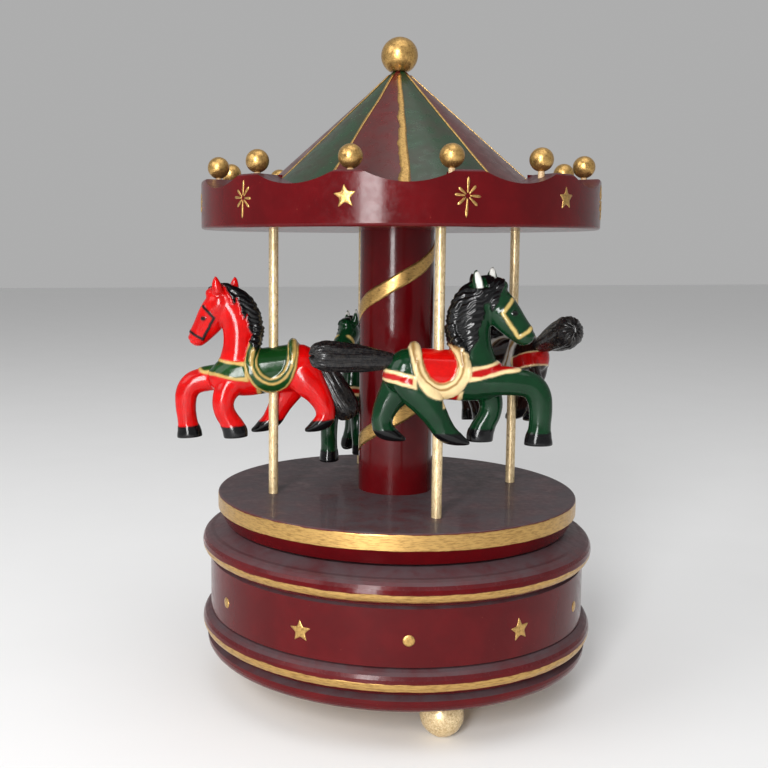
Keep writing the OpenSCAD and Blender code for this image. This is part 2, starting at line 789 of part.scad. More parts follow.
module canopy_ring() {
    half_chord = canopy_r * sin(wave_step / 2 - crest_half_angle);
    scoop_r = (half_chord * half_chord + dip_depth * dip_depth) / (2 * dip_depth);
    edge_r = 0.8;
    color(maroon)
    difference() {
        rotate_extrude()
        polygon(concat(
            [[0, canopy_z]],
            arc([canopy_r - edge_r, canopy_z + edge_r], edge_r, -90, 0, 4),
            arc([canopy_r - edge_r, crest_z - edge_r], edge_r, 0, 90, 4),
            [[canopy_r - rim_w, crest_z], [canopy_r - rim_w, recess_z], [0, recess_z]]));
        for (i = [0:wave_count - 1]) rotate([0, 0, (i + 0.5) * wave_step])
            translate([canopy_r - rim_w - 1, 0, crest_z - dip_depth + scoop_r])
            rotate([0, 90, 0]) cylinder(r = scoop_r, h = rim_w + 3);
        at_angles([-90, 0, 90, 180], pole_circle_r) rod(pole_r + running, canopy_z - 1, canopy_z + socket_depth);
        dowel_places() rod(dowel_r + fit_gap, canopy_z - 1, canopy_z + dowel_len / 2 + 0.2);
        rod(cone_dowel_r + fit_gap, recess_z - 2.5, recess_z + 1);
        at_angles(rim_ball_angles, rim_ball_circle_r)
            rod(rim_peg_d / 2 + fit_gap, crest_z - rim_peg_hold - 0.1, crest_z + 1);
    }
}

module roof_cone() {
    tip_c = cone_top_z + tip_flat - cone_tip_r;
    slope = atan2(cone_r - cone_tip_r, cone_h - cone_tip_r);
    color([0.1, 0.2, 0.12])
    difference() {
        rotate_extrude()
        polygon(concat([[0, recess_z], [cone_r, recess_z]], arc([0, tip_c], cone_tip_r, 90 - slope, 90, 8)));
        rod(cone_tip_r, cone_top_z, cone_top_z + tip_flat + 1);
        rod(finial_peg_r + fit_gap, cone_top_z - peg_hold - 0.2, cone_top_z + 1);
        rod(cone_dowel_r + fit_gap, recess_z - 1, recess_z + 6.2);
    }
}

module cone_dowel() {
    color(bare_wood)
    rod(cone_dowel_r, recess_z - 2.4, recess_z + 6);
}

module finial_ball() {
    color(gold)
    difference() {
        translate([0, 0, finial_z]) sphere(r = finial_d / 2);
        rod(finial_d / 2, cone_top_z - finial_flat - 1, cone_top_z);
        rod(finial_peg_r + fit_gap, cone_top_z - 1, cone_top_z + peg_hold + 0.2);
    }
}

module finial_peg() {
    color(bare_wood)
    rod(finial_peg_r, cone_top_z - peg_hold, cone_top_z + peg_hold);
}

module rim_balls() {
    color(gold)
    at_angles(rim_ball_angles, rim_ball_circle_r)
    difference() {
        translate([0, 0, rim_ball_z]) sphere(r = rim_ball_d / 2);
        rod(rim_peg_d / 2 + fit_gap, crest_z - 1, crest_z + rim_ball_gap + rim_peg_hold + 0.1);
    }
}

module rim_pegs() {
    color(bare_wood)
    at_angles(rim_ball_angles, rim_ball_circle_r)
    rod(rim_peg_d / 2, crest_z - rim_peg_hold, crest_z + rim_ball_gap + rim_peg_hold);
}

// ---------- poles and horses ----------

module pole(place) {
    color(gold)
    translate([place[0], place[1], 0])
    rod(pole_r, platform_top_z - socket_depth + pole_end_gap, canopy_z + socket_depth - pole_end_gap);
}

module pole_front() { pole(front_place); }
module pole_right() { pole(right_place); }
module pole_back() { pole(back_place); }
module pole_left() { pole(left_place); }

// one moulded horse facing +X, its sole at z = 0, bored for the pole
module horse(place, coat) {
    color(coat)
    on_pole(place)
    difference() {
        tipped(place) horse_solid();
        rod(pole_r + fit_gap / 2, -5, 50);
    }
}

module horse_solid() {
    // torso, from rump to chest
    limb([[-12.9, 19.2, 1.6, 1.4, 0], [-11.6, 18.6, 4.4, 3.4, 0], [-8, 17.8, 6.2, 4.8, 0], [-3, 17.3, 6.4, 5, 0],
        [3, 17, 6.3, 5, 0], [9, 16.4, 6, 4.9, 0], [14, 16.2, 4.8, 4.3, 0], [17.4, 16.4, 2.6, 2.6, 0]], 12);
    // neck and head, turned a little to the right
    limb([[9.6, 15, 6.4, 4, 0], [8.6, 22, 6.6, 3.7, 0], [8.6, 28, 6, 3.4, -0.1],
        [10, 34, 5, 3.2, -0.3], [12, 38, 3.4, 2.7, -0.4], [13.4, 40.6, 1.6, 1.6, -0.5]], 12);
    limb([[10.8, 38.6, 2, 2, -0.3], [13.6, 36.4, 4.3, 3.1, -0.6], [16.6, 32.6, 4.2, 3, -1.2],
        [19.4, 29, 3.2, 2.5, -2], [21.2, 27, 2.6, 2.2, -2.4], [22.3, 25.8, 1.2, 1.2, -2.6]]);
    // ears
    for (e = [[8.2, -2.1], [12.6, 1.9]])
        limb([[e[0] + 0.8, 38.5, 1.3, 1.1, e[1]], [e[0] + 0.3, 41.4, 1.1, 0.9, e[1]], [e[0], 43.6, 0.3, 0.3, e[1]]], 8);
    // right fore leg, reaching; left fore leg, standing
    limb([[10, 15, 3.8, 2.4, -2.6], [18, 15.2, 3.4, 2.5, -2.9], [23.2, 14.2, 3.2, 2.5, -3], [24.8, 11, 3, 2.4, -3],
        [24.9, 7, 2.8, 2.3, -3], [24.8, 3.4, 2.8, 2.3, -3], [24.6, 0, 3.4, 2.5, -3]]);
    limb([[12, 14.4, 3.6, 2.5, 3], [13.8, 9.6, 2.9, 2.4, 3], [13.5, 6.4, 2.8, 2.3, 3],
        [12.2, 3.4, 2.9, 2.3, 3], [11, 0.2, 3, 2.4, 3]]);
    // right hind leg, forward; left hind leg, back
    limb([[-7.4, 17, 5, 2.8, -3], [-4.4, 11.6, 4.2, 2.7, -3], [-1.2, 7.2, 3.2, 2.4, -3],
        [0.9, 4, 2.7, 2.3, -3], [3, 2.2, 2, 2.3, -3], [6.8, 0.8, 0.7, 1.4, -3]]);
    limb([[-7.4, 17, 5, 2.8, 3], [-11, 11.2, 3.9, 2.6, 3], [-13.4, 7, 2.9, 2.3, 3],
        [-13.6, 3.6, 2.5, 2.3, 3], [-12, 1.9, 1.9, 2.3, 3], [-8, 0.8, 0.7, 1.4, 3]]);
    // pommel and cantle
    limb([[4.9, 20, 1.6, 4.6, 0], [4.2, 25, 1.2, 3.6, 0], [3.4, 28, 0.5, 1.2, 0]], 8);
    limb([[-5.4, 18.4, 1.4, 5.3, 0], [-4.8, 22.6, 1.3, 4.2, 0], [-5.2, 24.8, 0.5, 2, 0]], 8);
}

module horse_front() { horse(front_place, horse_green); }
module horse_right() { horse(right_place, horse_dark); }
module horse_back() { horse(back_place, horse_green); }
module horse_left() { horse(left_place, horse_red); }

// brush-like tail let into the rump, set at its own pitch
module tail(place, pitch, swing = 0) {
    root = [-12.2, 0, 20.6];
    color(hair_black)
    on_pole(place)
    tipped(place)
    translate(root) rotate([0, -pitch, swing])
    limb([[0.6, 0, 1.5, 1.4, 0], [-3, 0.3, 2.3, 2, 0], [-8, 0.6, 3, 2.6, 0], [-13, 0.9, 3.4, 2.9, 0],
        [-17, 1.1, 3.5, 2.9, 0], [-19.2, 1.2, 2.2, 1.8, 0]], 12);
}

module tail_front() { tail(front_place, 0); }
module tail_right() { tail(right_place, -10, -16); }
module tail_back() { tail(back_place, -12); }
module tail_left() { tail(left_place, 70); }

base_drum();
bottom_board();
board_screws();
ball_feet();
foot_screws();
bedplate();
bedplate_screws();
barrel();
barrel_cover();
mainspring();
barrel_bridge();
bridge_screws();
output_stud();
winding_arbor();
ratchet_wheel();
click();
click_screw();
winding_key();
pinned_cylinder();
cylinder_pinion();
cylinder_wheel();
cylinder_arbor();
comb();
comb_screws();
governor_wheel();
governor_arbor();
worm();
air_brake();
governor_bracket();
bracket_screws();
platform();
platform_insert();
column();
column_dowels();
canopy_ring();
roof_cone();
cone_dowel();
finial_ball();
finial_peg();
rim_balls();
rim_pegs();
pole_front();
pole_right();
pole_back();
pole_left();
horse_front();
horse_right();
horse_back();
horse_left();
tail_front();
tail_right();
tail_back();
tail_left();
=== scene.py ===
"""Looks of the carousel music box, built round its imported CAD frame. Metres, +Z up."""

import math
import random

import bpy
import numpy as np
from mathutils import Matrix, Vector, noise


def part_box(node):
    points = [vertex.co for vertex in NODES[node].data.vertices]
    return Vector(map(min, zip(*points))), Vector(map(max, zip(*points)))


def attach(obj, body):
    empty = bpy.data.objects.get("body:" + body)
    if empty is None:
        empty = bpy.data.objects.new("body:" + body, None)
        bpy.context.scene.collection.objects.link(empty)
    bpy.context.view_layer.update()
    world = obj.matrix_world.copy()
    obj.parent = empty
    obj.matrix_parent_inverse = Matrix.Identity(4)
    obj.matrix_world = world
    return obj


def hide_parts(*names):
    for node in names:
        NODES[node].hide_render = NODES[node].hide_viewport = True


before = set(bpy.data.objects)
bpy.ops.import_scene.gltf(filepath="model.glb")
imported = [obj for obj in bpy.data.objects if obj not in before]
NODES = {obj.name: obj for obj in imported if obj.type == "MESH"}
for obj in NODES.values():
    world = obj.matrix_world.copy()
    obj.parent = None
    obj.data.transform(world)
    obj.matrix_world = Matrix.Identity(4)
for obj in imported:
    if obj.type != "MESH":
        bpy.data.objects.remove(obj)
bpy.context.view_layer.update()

MM = 0.001
random.seed(18)

# ---------- sizes taken from the frame ----------

RING_OUT = 2.2           # how far the drum's rounded rings stand out from its waist
WAIST_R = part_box("base_drum")[1].x / MM - RING_OUT
PLATFORM_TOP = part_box("platform")[1].z / MM
COLUMN_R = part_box("column")[1].x / MM
low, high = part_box("canopy_ring")
CANOPY_LOW, CANOPY_R = low.z / MM, high.x / MM
low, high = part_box("roof_cone")
CONE_LOW, CONE_TOP = low.z / MM, high.z / MM
CONE_R = high.x / MM
low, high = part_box("pole_front")
POLE_CIRCLE = -(low.y + high.y) / 2 / MM


# ---------- camera, stage, light ----------

VIEW_TURN = -17.6        # the camera's azimuth round the object
CAMERA_AWAY = 299.2      # distance from the spindle
CAMERA_HEIGHT = 121.1


def make_camera():
    yaw = math.radians(VIEW_TURN + 5.137)
    pitch = math.radians(5.455)
    roll = math.radians(0.176)
    right = Vector((math.cos(yaw), math.sin(yaw), 0))
    ahead = Vector((-math.sin(yaw) * math.cos(pitch), math.cos(yaw) * math.cos(pitch), -math.sin(pitch)))
    up = right.cross(ahead)
    rolled_right = math.cos(roll) * right + math.sin(roll) * up
    rolled_up = math.cos(roll) * up - math.sin(roll) * right
    turn = Matrix((rolled_right, rolled_up, -ahead)).transposed().to_4x4()
    place = Matrix.Rotation(math.radians(VIEW_TURN), 4, "Z") @ Vector((0, -CAMERA_AWAY, CAMERA_HEIGHT))
    data = bpy.data.cameras.new("camera")
    data.sensor_width = 36
    data.lens = 50.2
    data.shift_x = 0.109
    data.shift_y = -0.044
    data.clip_start = 0.01
    camera = bpy.data.objects.new("camera", data)
    bpy.context.scene.collection.objects.link(camera)
    camera.matrix_world = Matrix.Translation(place * MM) @ turn
    bpy.context.scene.camera = camera


def area_light(name, azimuth, elevation, distance, width, height, watts, colour=(1, 1, 1)):
    """A rectangular softbox round the object; azimuth 0 shines along +Y."""
    data = bpy.data.lights.new(name, "AREA")
    data.shape = "RECTANGLE"
    data.size = width
    data.size_y = height
    data.energy = watts
    data.color = colour
    lamp = bpy.data.objects.new(name, data)
    bpy.context.scene.collection.objects.link(lamp)
    a, e = math.radians(azimuth), math.radians(elevation)
    away = Vector((math.sin(a) * math.cos(e), -math.cos(a) * math.cos(e), math.sin(e)))
    centre = Vector((0, 0, 0.09))
    lamp.location = centre + away * distance
    lamp.rotation_euler = (-away).to_track_quat("-Z", "Y").to_euler()


def make_stage():
    bpy.ops.mesh.primitive_plane_add(size=6, location=(0, 0, 0))
    floor = bpy.context.object
    floor.name = "floor"
    floor.data.materials.append(plain("floor_paint", (0.86, 0.86, 0.86), 0.75))
    world = bpy.data.worlds.new("studio")
    bpy.context.scene.world = world
    world.use_nodes = True
    world.node_tree.nodes["Background"].inputs["Color"].default_value = (1, 1, 1, 1)
    world.node_tree.nodes["Background"].inputs["Strength"].default_value = 0.42
    area_light("key", VIEW_TURN - 14, 14, 0.75, 0.15, 0.5, 6.5)
    area_light("left_fill", VIEW_TURN - 60, 35, 0.9, 0.5, 0.5, 2.0)
    area_light("top_fill", VIEW_TURN + 30, 75, 1.0, 0.8, 0.8, 3.0)


# ---------- material helpers ----------

class Shader:
    """A small builder for a node material with one Principled shader."""

    def __init__(self, name):
        self.material = bpy.data.materials.new(name)
        self.material.use_nodes = True
        self.tree = self.material.node_tree
        self.bsdf = self.tree.nodes["Principled BSDF"]

    def node(self, kind, **settings):
        made = self.tree.nodes.new(kind)
        for key, value in settings.items():
            setattr(made, key, value)
        return made

    def link(self, source, target):
        self.tree.links.new(source, target)

    def put(self, socket, value):
        """Sets a socket to a number or colour, or links it to another socket."""
        if isinstance(value, bpy.types.NodeSocket):
            self.link(value, socket)
        elif isinstance(value, tuple) and len(value) == 3:
            socket.default_value = (*value, 1)
        else:
            socket.default_value = value

    def set(self, **values):
        names = {"color": "Base Color", "rough": "Roughness", "metal": "Metallic", "normal": "Normal",
                 "coat": "Coat Weight", "coat_rough": "Coat Roughness", "specular": "Specular IOR Level"}
        for key, value in values.items():
            self.put(self.bsdf.inputs[names[key]], value)

    def place(self, scale=(1, 1, 1)):
        """Object coordinates in millimetres, stretched by scale."""
        coords = self.node("ShaderNodeTexCoord").outputs["Object"]
        mapping = self.node("ShaderNodeMapping")
        mapping.inputs["Scale"].default_value = tuple(1000 * s for s in scale)
        self.link(coords, mapping.inputs["Vector"])
        return mapping.outputs["Vector"]

    def noise(self, size, detail=3.0, rough=0.55, stretch=(1, 1, 1), distort=0.0):
        """Noise from 0 to 1 whose features are about size millimetres across."""
        texture = self.node("ShaderNodeTexNoise")
        self.link(self.place(stretch), texture.inputs["Vector"])
        texture.inputs["Scale"].default_value = 1 / size
        texture.inputs["Detail"].default_value = detail
        texture.inputs["Roughness"].default_value = rough
        texture.inputs["Distortion"].default_value = distort
        return texture.outputs["Fac"]

    def step(self, value, start, end, low=0.0, high=1.0, smooth=True):
        """Ramps value from low at start to high at end."""
        ramp = self.node("ShaderNodeMapRange", interpolation_type="SMOOTHSTEP" if smooth else "LINEAR")
        ramp.clamp = True
        for socket, number in zip(("From Min", "From Max", "To Min", "To Max"), (start, end, low, high)):
            ramp.inputs[socket].default_value = number
        self.link(value, ramp.inputs["Value"])
        return ramp.outputs["Result"]

    def math(self, kind, a, b=0.0):
        made = self.node("ShaderNodeMath", operation=kind)
        self.put(made.inputs[0], a)
        self.put(made.inputs[1], b)
        return made.outputs[0]

    def mix(self, factor, a, b):
        made = self.node("ShaderNodeMix", data_type="RGBA")
        self.put(made.inputs["Factor"], factor)
        self.put(made.inputs["A"], a)
        self.put(made.inputs["B"], b)
        return made.outputs["Result"]

    def axis(self, letter):
        """One object coordinate, in millimetres."""
        split = self.node("ShaderNodeSeparateXYZ")
        self.link(self.place(), split.inputs[0])
        return split.outputs[letter]

    def facing_up(self, start, end):
        split = self.node("ShaderNodeSeparateXYZ")
        self.link(self.node("ShaderNodeNewGeometry").outputs["Normal"], split.inputs[0])
        return self.step(split.outputs["Z"], start, end)

    def bump(self, height, depth, under=None):
        """depth is the height of the bumps in millimetres."""
        made = self.node("ShaderNodeBump")
        made.inputs["Strength"].default_value = 1.0
        made.inputs["Distance"].default_value = depth * MM
        self.link(height, made.inputs["Height"])
        if under:
            self.link(under, made.inputs["Normal"])
        return made.outputs["Normal"]

    def between(self, value, start, end, soft):
        """1 where value lies between start and end, fading over soft."""
        rise = self.step(value, start - soft, start + soft)
        fall = self.step(value, end - soft, end + soft, 1.0, 0.0)
        return self.math("MULTIPLY", rise, fall)


def plain(name, colour, rough):
    shader = Shader(name)
    tone = shader.mix(shader.noise(40, 2), tuple(c * 0.97 for c in colour), colour)
    shader.set(color=tone, rough=rough)
    return shader.material


MAROON = (0.085, 0.0016, 0.003)
MAROON_DEEP = (0.066, 0.0012, 0.0024)
GOLD = (0.58, 0.36, 0.12)
GOLD_DARK = (0.31, 0.17, 0.055)
# colour of real dust, made darker to paint in the shade that falls on the drum's shoulder under the platform
DUST_AND_SHADE = (0.075, 0.062, 0.068)


def gold_layers(shader, stretch=(1, 1, 1)):
    """Colour and roughness of brushed gold paint."""
    streaks = shader.noise(0.5, 4, 0.6, stretch)
    tone = shader.mix(shader.step(streaks, 0.25, 0.6), GOLD_DARK, GOLD)
    rough = shader.step(shader.noise(1.4, 3), 0.3, 0.7, 0.26, 0.42)
    return tone, rough


def lacquer(name, stripes=(), dust_and_shade=0.0, patch_size=7.0):
    """Glossy maroon lacquer with painted gold stripes at given heights, and on top faces a film of dust whose
    colour is darkened into painted shade.
    """
    shader = Shader(name)
    tone = shader.mix(shader.step(shader.noise(9, 3), 0.35, 0.7), MAROON_DEEP, MAROON)
    specks = shader.step(shader.noise(0.55, 2, 0.5), 0.76, 0.8)
    tone = shader.mix(specks, tone, (0.2, 0.05, 0.03))
    rough = shader.step(shader.noise(1.6, 4), 0.3, 0.75, 0.13, 0.27)
    metal = 0.0
    if stripes:
        wobble = shader.step(shader.noise(6, 3), 0.2, 0.8, -0.22, 0.22, smooth=False)
        height = shader.math("ADD", shader.axis("Z"), wobble)
        paint = None
        for start, end in stripes:
            band = shader.between(height, start, end, 0.07)
            paint = shader.math("MAXIMUM", paint, band) if paint else band
        worn = shader.step(shader.noise(1.8, 5, 0.65), 0.69, 0.76, 1.0, 0.15)
        paint = shader.math("MULTIPLY", paint, worn)
        gold_tone, _ = gold_layers(shader, (0.25, 0.25, 1.6))
        tone = shader.mix(paint, tone, gold_tone)
        rough = shader.math("ADD", rough, shader.math("MULTIPLY", paint, 0.18))
        metal = shader.math("MULTIPLY", paint, 0.92)
    # film on top faces: real dust, with a darker colour that stands in for painted shade
    if dust_and_shade:
        patches = shader.step(shader.noise(patch_size, 7, 0.7, distort=0.3), 0.22, 0.66, 0.35, 1.0)
        film = shader.math("MULTIPLY", shader.facing_up(0.3, 0.85), patches)
        film = shader.math("MULTIPLY", film, dust_and_shade)
        tone = shader.mix(film, tone, DUST_AND_SHADE)
        rough = shader.math("ADD", rough, shader.math("MULTIPLY", film, 0.5))
    peel = shader.bump(shader.noise(0.8, 3, 0.6), 0.012)
    shader.set(color=tone, rough=rough, metal=metal, specular=0.16, coat=0.1, coat_rough=0.07, normal=peel)
    return shader.material


def gold_paint(name, grain=(1, 1, 1), pale=False):
    shader = Shader(name)
    tone, rough = gold_layers(shader, grain)
    if pale:
        tone = shader.mix(shader.step(shader.noise(0.45, 4, 0.7, grain), 0.35, 0.68), (0.5, 0.35, 0.17),
                          (0.84, 0.68, 0.42))
    worn = shader.step(shader.noise(2.2, 5, 0.7), 0.68, 0.75)
    tone = shader.mix(worn, tone, (0.14, 0.06, 0.02))
    metal = shader.step(shader.noise(2.2, 5, 0.7), 0.68, 0.75, 0.5 if pale else 0.9, 0.05)
    shader.set(color=tone, rough=rough, metal=metal,
               normal=shader.bump(shader.noise(0.5, 4, 0.65, grain), 0.03))
    return shader.material


def bare_wood(name, light, dark, grain=(1, 1, 0.12), rough=0.55, coat=0.0):
    shader = Shader(name)
    rings = shader.noise(1.1, 4, 0.6, grain, 0.4)
    tone = shader.mix(shader.step(rings, 0.3, 0.7), dark, light)
    shader.set(color=tone, rough=rough, coat=coat, normal=shader.bump(rings, 0.02))
    return shader.material


def metal(name, colour, rough=0.3, grain=(1, 1, 1), metallic=1.0):
    shader = Shader(name)
    streaks = shader.noise(0.8, 4, 0.6, grain)
    dull = tuple(0.62 * c for c in colour)
    tone = shader.mix(shader.step(streaks, 0.25, 0.75), dull, colour)
    shader.set(color=tone, rough=shader.step(streaks, 0.3, 0.7, rough * 0.75, rough * 1.35), metal=metallic,
               normal=shader.bump(streaks, 0.008))
    return shader.material


def enamel(name):
    """Glossy enamel whose colours are painted on the mesh itself."""
    shader = Shader(name)
    paint = shader.node("ShaderNodeVertexColor", layer_name="paint").outputs["Color"]
    deep = shader.mix(shader.step(shader.noise(3.5, 4), 0.3, 0.7, 0.0, 0.22), paint, (0.0, 0.0, 0.0))
    gloss = shader.step(shader.noise(1.1, 4), 0.3, 0.75, 0.1, 0.24)
    shader.set(color=deep, rough=gloss, specular=0.22, coat=0.16, coat_rough=0.05,
               normal=shader.bump(shader.noise(0.9, 3), 0.02))
    return shader.material


def roof_paint(name, edges, red):
    """Panels of green and red round the cone, changing colour at the given angles; red says which
    colour follows the first change."""
    shader = Shader(name)
    split = shader.node("ShaderNodeSeparateXYZ")
    shader.link(shader.place(), split.inputs[0])
    angle = shader.math("ARCTAN2", split.outputs["Y"], split.outputs["X"])
    turn = shader.math("DIVIDE", shader.math("MULTIPLY", angle, 180 / math.pi), 360.0)
    turn = shader.math("FRACT", shader.math("ADD", turn, 1.0))
    ramp = shader.node("ShaderNodeValToRGB")
    ramp.color_ramp.interpolation = "CONSTANT"
    stops = sorted((edge % 360) / 360 for edge in edges)
    colours = {True: (0.075, 0.004, 0.004, 1), False: (0.005, 0.03, 0.008, 1)}
    ramp.color_ramp.elements[0].position = 0.0
    ramp.color_ramp.elements[0].color = colours[not red]
    ramp.color_ramp.elements[1].position = stops[0]
    ramp.color_ramp.elements[1].color = colours[red]
    for stop in stops[1:]:
        red = not red
        ramp.color_ramp.elements.new(stop).color = colours[red]
    shader.link(turn, ramp.inputs["Fac"])
    patchy = shader.step(shader.noise(5, 5), 0.3, 0.72, 0.0, 0.5)
    tone = shader.mix(patchy, ramp.outputs["Color"], (0.03, 0.008, 0.006))
    grime = shader.step(shader.noise(0.6, 3), 0.7, 0.78, 0.0, 0.5)
    tone = shader.mix(grime, tone, (0.12, 0.08, 0.05))
    rough = shader.step(shader.noise(2.5, 5), 0.3, 0.7, 0.24, 0.42)
    shader.set(color=tone, rough=rough, coat=0.2, coat_rough=0.2,
               normal=shader.bump(shader.noise(1.2, 4), 0.03))
    return shader.material


# ---------- mesh helpers ----------

def mesh_object(name, points, faces, material, body, smooth=True):
    """A piece from points in millimetres, riding on a body."""
    data = bpy.data.meshes.new(name)
    data.from_pydata([tuple(MM * c for c in p) for p in points], [], faces)
    data.validate()
    if smooth:
        data.shade_smooth()
    data.materials.append(material)
    piece = bpy.data.objects.new(name, data)
    bpy.context.scene.collection.objects.link(piece)
    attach(piece, body)
    return piece


def on_cylinder(radius):
    """Maps a patch's (across, up) millimetres to a wall of that radius, round an angle and a height."""
    def place(angle, height, u, v, lift):
        a = math.radians(angle) + u / radius
        return ((radius + lift) * math.cos(a), (radius + lift) * math.sin(a), height + v)
    return place


def blob(outline, rings=4, thick=0.16, sunk=0.12):
    """A flat stroke of paint: (u, v, lift) points and faces, domed, with its underside in the wood."""
    count = len(outline)
    cu = sum(p[0] for p in outline) / count
    cv = sum(p[1] for p in outline) / count
    points = [(cu, cv, thick)]
    for ring in range(1, rings + 1):
        share = ring / rings
        lift = thick * (1 - share ** 4) if ring < rings else -sunk
        points += [(cu + (u - cu) * share, cv + (v - cv) * share, lift) for u, v in outline]
    points.append((cu, cv, -sunk))
    last = len(points) - 1
    faces = []
    for i in range(count):
        j = (i + 1) % count
        faces.append((0, 1 + i, 1 + j))
        for ring in range(rings - 1):
            a = 1 + ring * count
            faces.append((a + i, a + count + i, a + count + j, a + j))
        a = 1 + (rings - 1) * count
        faces.append((last, a + j, a + i))
    return points, faces


def star_outline(size, turn, wobble=0.06):
    """A hand-cut five-pointed star with rounded, uneven points."""
    corners = []
    for k in range(10):
        reach = size * (1 if k % 2 == 0 else 0.46) * (1 + random.uniform(-wobble, wobble))
        a = math.radians(90 + 36 * k + turn)
        corners.append((reach * math.cos(a), reach * math.sin(a)))
    return rounded(corners, 0.18)


def rounded(corners, share):
    """Cuts each corner of a closed outline with three points of a short curve."""
    smooth = []
    count = len(corners)
    for k in range(count):
        before, here, after = (Vector(corners[(k + d) % count]) for d in (-1, 0, 1))
        a = here + (before - here) * share
        b = here + (after - here) * share
        for t in (0.0, 0.5, 1.0):
            smooth.append(tuple((1 - t) ** 2 * a + 2 * t * (1 - t) * here + t * t * b))
        smooth.append(tuple(here + (after - here) * 0.5))
    return smooth


def stroke_outline(length, width, angle, start=0.0):
    """A brush stroke that swells towards its outer end."""
    points = []
    steps = 9
    for side in (1, -1):
        for k in range(steps + 1):
            t = k / steps if side == 1 else 1 - k / steps
            half = width * (0.28 + 0.5 * t) * math.sqrt(max(0.0, 1 - t ** 6)) + 0.02
            x, y = start + t * (length - start), side * half
            c, s = math.cos(angle), math.sin(angle)
            points.append((x * c - y * s, x * s + y * c))
    return points


def paint_piece(name, patches, material, body):
    """Joins blobs of paint, each (place, angle, height, outline), into one piece."""
    points, faces = [], []
    for place, angle, height, outline in patches:
        local, local_faces = blob(outline)
        base = len(points)
        points += [place(angle, height, u, v, lift) for u, v, lift in local]
        faces += [tuple(base + i for i in face) for face in local_faces]
    return mesh_object(name, points, faces, material, body)


def strip(lines):
    """Faces of a closed band whose cross-sections, lists of points, follow each other."""
    points = [p for line in lines for p in line]
    n = len(lines[0])
    faces = []
    for i in range(len(lines) - 1):
        for k in range(n):
            a, b = i * n + k, i * n + (k + 1) % n
            faces.append((a, b, b + n, a + n))
    faces.append(tuple(range(n - 1, -1, -1)))
    last = (len(lines) - 1) * n
    faces.append(tuple(range(last, last + n)))
    return points, faces


# ---------- painted ornament ----------

BASE_MOTIF_START = -133.4
BASE_MOTIF_HEIGHT = 28.3
CANOPY_MOTIF_HEIGHT = 7.1    # above the canopy's lower edge
DOT_R = 1.62
RIBBON_PITCH = 37.0
RIBBON_HALF = 2.0
RIBBON_FRONT = 112.1         # a height where the ribbon crosses the camera's side of the column
ROOF_EDGES = [-167.6, -135.6, -103.6, -66.6, -29.6, 7.4, 44.4, 81.4, 118.4, 155.4]
ROOF_RED_FIRST = True
BASE_JITTER = (0, 0, 3, 1, -2, 1, 2, -1, 0, 2, -2, -2)
RIM_JITTER = (-0.6, 0.4, -1.5, 2, -1, 1, 0.5, -2, 1, -4.6, -1.6, -0.6)


def drum_ornament(gold):
    wall = on_cylinder(WAIST_R)
    stars, dots = [], []
    for k in range(12):
        angle = BASE_MOTIF_START + 30 * k + (0 if k == 0 else BASE_JITTER[k] * 0.8)
        height = BASE_MOTIF_HEIGHT + random.uniform(-0.35, 0.35)
        if k % 2 == 0:
            stars.append((wall, angle, height, star_outline(3.5, random.uniform(-9, 9))))
        else:
            turns = np.linspace(0, 2 * math.pi, 29)[:-1]
            ring = [(DOT_R * math.cos(t) * 1.03, DOT_R * math.sin(t)) for t in turns]
            dots.append((wall, angle, height, ring))
    paint_piece("drum_stars", stars, gold, "base")
    paint_piece("drum_dots", dots, gold, "base")


def canopy_ornament(gold):
    wall = on_cylinder(CANOPY_R)
    patches = []
    for k in range(12):
        angle = -90 + 30 * k + RIM_JITTER[k]
        height = CANOPY_LOW + CANOPY_MOTIF_HEIGHT + random.uniform(-0.3, 0.3)
        if k % 2:
            patches.append((wall, angle, height, star_outline(3.35, random.uniform(-8, 8))))
            continue
        for arm in range(8):
            up = arm in (2, 6)
            length = (5.2 if arm == 6 else 4.6) if up else random.uniform(3.0, 3.7)
            spread = math.radians(45 * arm + random.uniform(-5, 5))
            patches.append((wall, angle, height, stroke_outline(length, 0.62, spread, 0.35)))
    paint_piece("canopy_ornament", patches, gold, "carousel")


def column_ribbon(gold):
    """A hand-painted gold ribbon that winds up the column."""
    start, end = PLATFORM_TOP + 0.05, CANOPY_LOW - 0.05
    lines = []
    steps = 360
    for i in range(steps + 1):
        z = start - 2.2 + (end - start + 4.4) * i / steps
        angle = VIEW_TURN - 90 + 360 * (z - RIBBON_FRONT) / RIBBON_PITCH
        ragged = 0.16 * noise.noise(Vector((z * 0.35, 3.1, 0)))
        ragged += 0.08 * noise.noise(Vector((z * 1.7, 9.1, 0)))
        upper, lower = [], []
        for k in range(7):
            share = k / 6
            across = (share - 0.5) * 2
            lift = 0.05 + 0.07 * (1 - across ** 4)
            height = z + across * (RIBBON_HALF * 1.12 + (ragged if share > 0.5 else -ragged))
            height = min(max(height, start), end)
            a = math.radians(angle)
            upper.append(((COLUMN_R + lift) * math.cos(a), (COLUMN_R + lift) * math.sin(a), height))
            lower.append(((COLUMN_R - 0.1) * math.cos(a), (COLUMN_R - 0.1) * math.sin(a), height))
        lines.append(upper + lower[::-1])
    points, faces = strip(lines)
    mesh_object("column_ribbon", points, faces, gold, "carousel")


def cone_point(angle, share, lift, sideways=0.0):
    """A point on the roof: share 0 at the tip's rounding, 1 at the rim; sideways in millimetres."""
    tip_r = 3.2
    r = tip_r + (CONE_R - tip_r) * share
    z = CONE_TOP - 1.1 + (CONE_LOW - CONE_TOP + 1.1) * share
    slope = math.hypot(CONE_R - tip_r, CONE_TOP - 1.1 - CONE_LOW)
    out, up = (CONE_TOP - 1.1 - CONE_LOW) / slope, (CONE_R - tip_r) / slope
    a = math.radians(angle) + sideways / r
    r += lift * out
    return (r * math.cos(a), r * math.sin(a), z + lift * up)


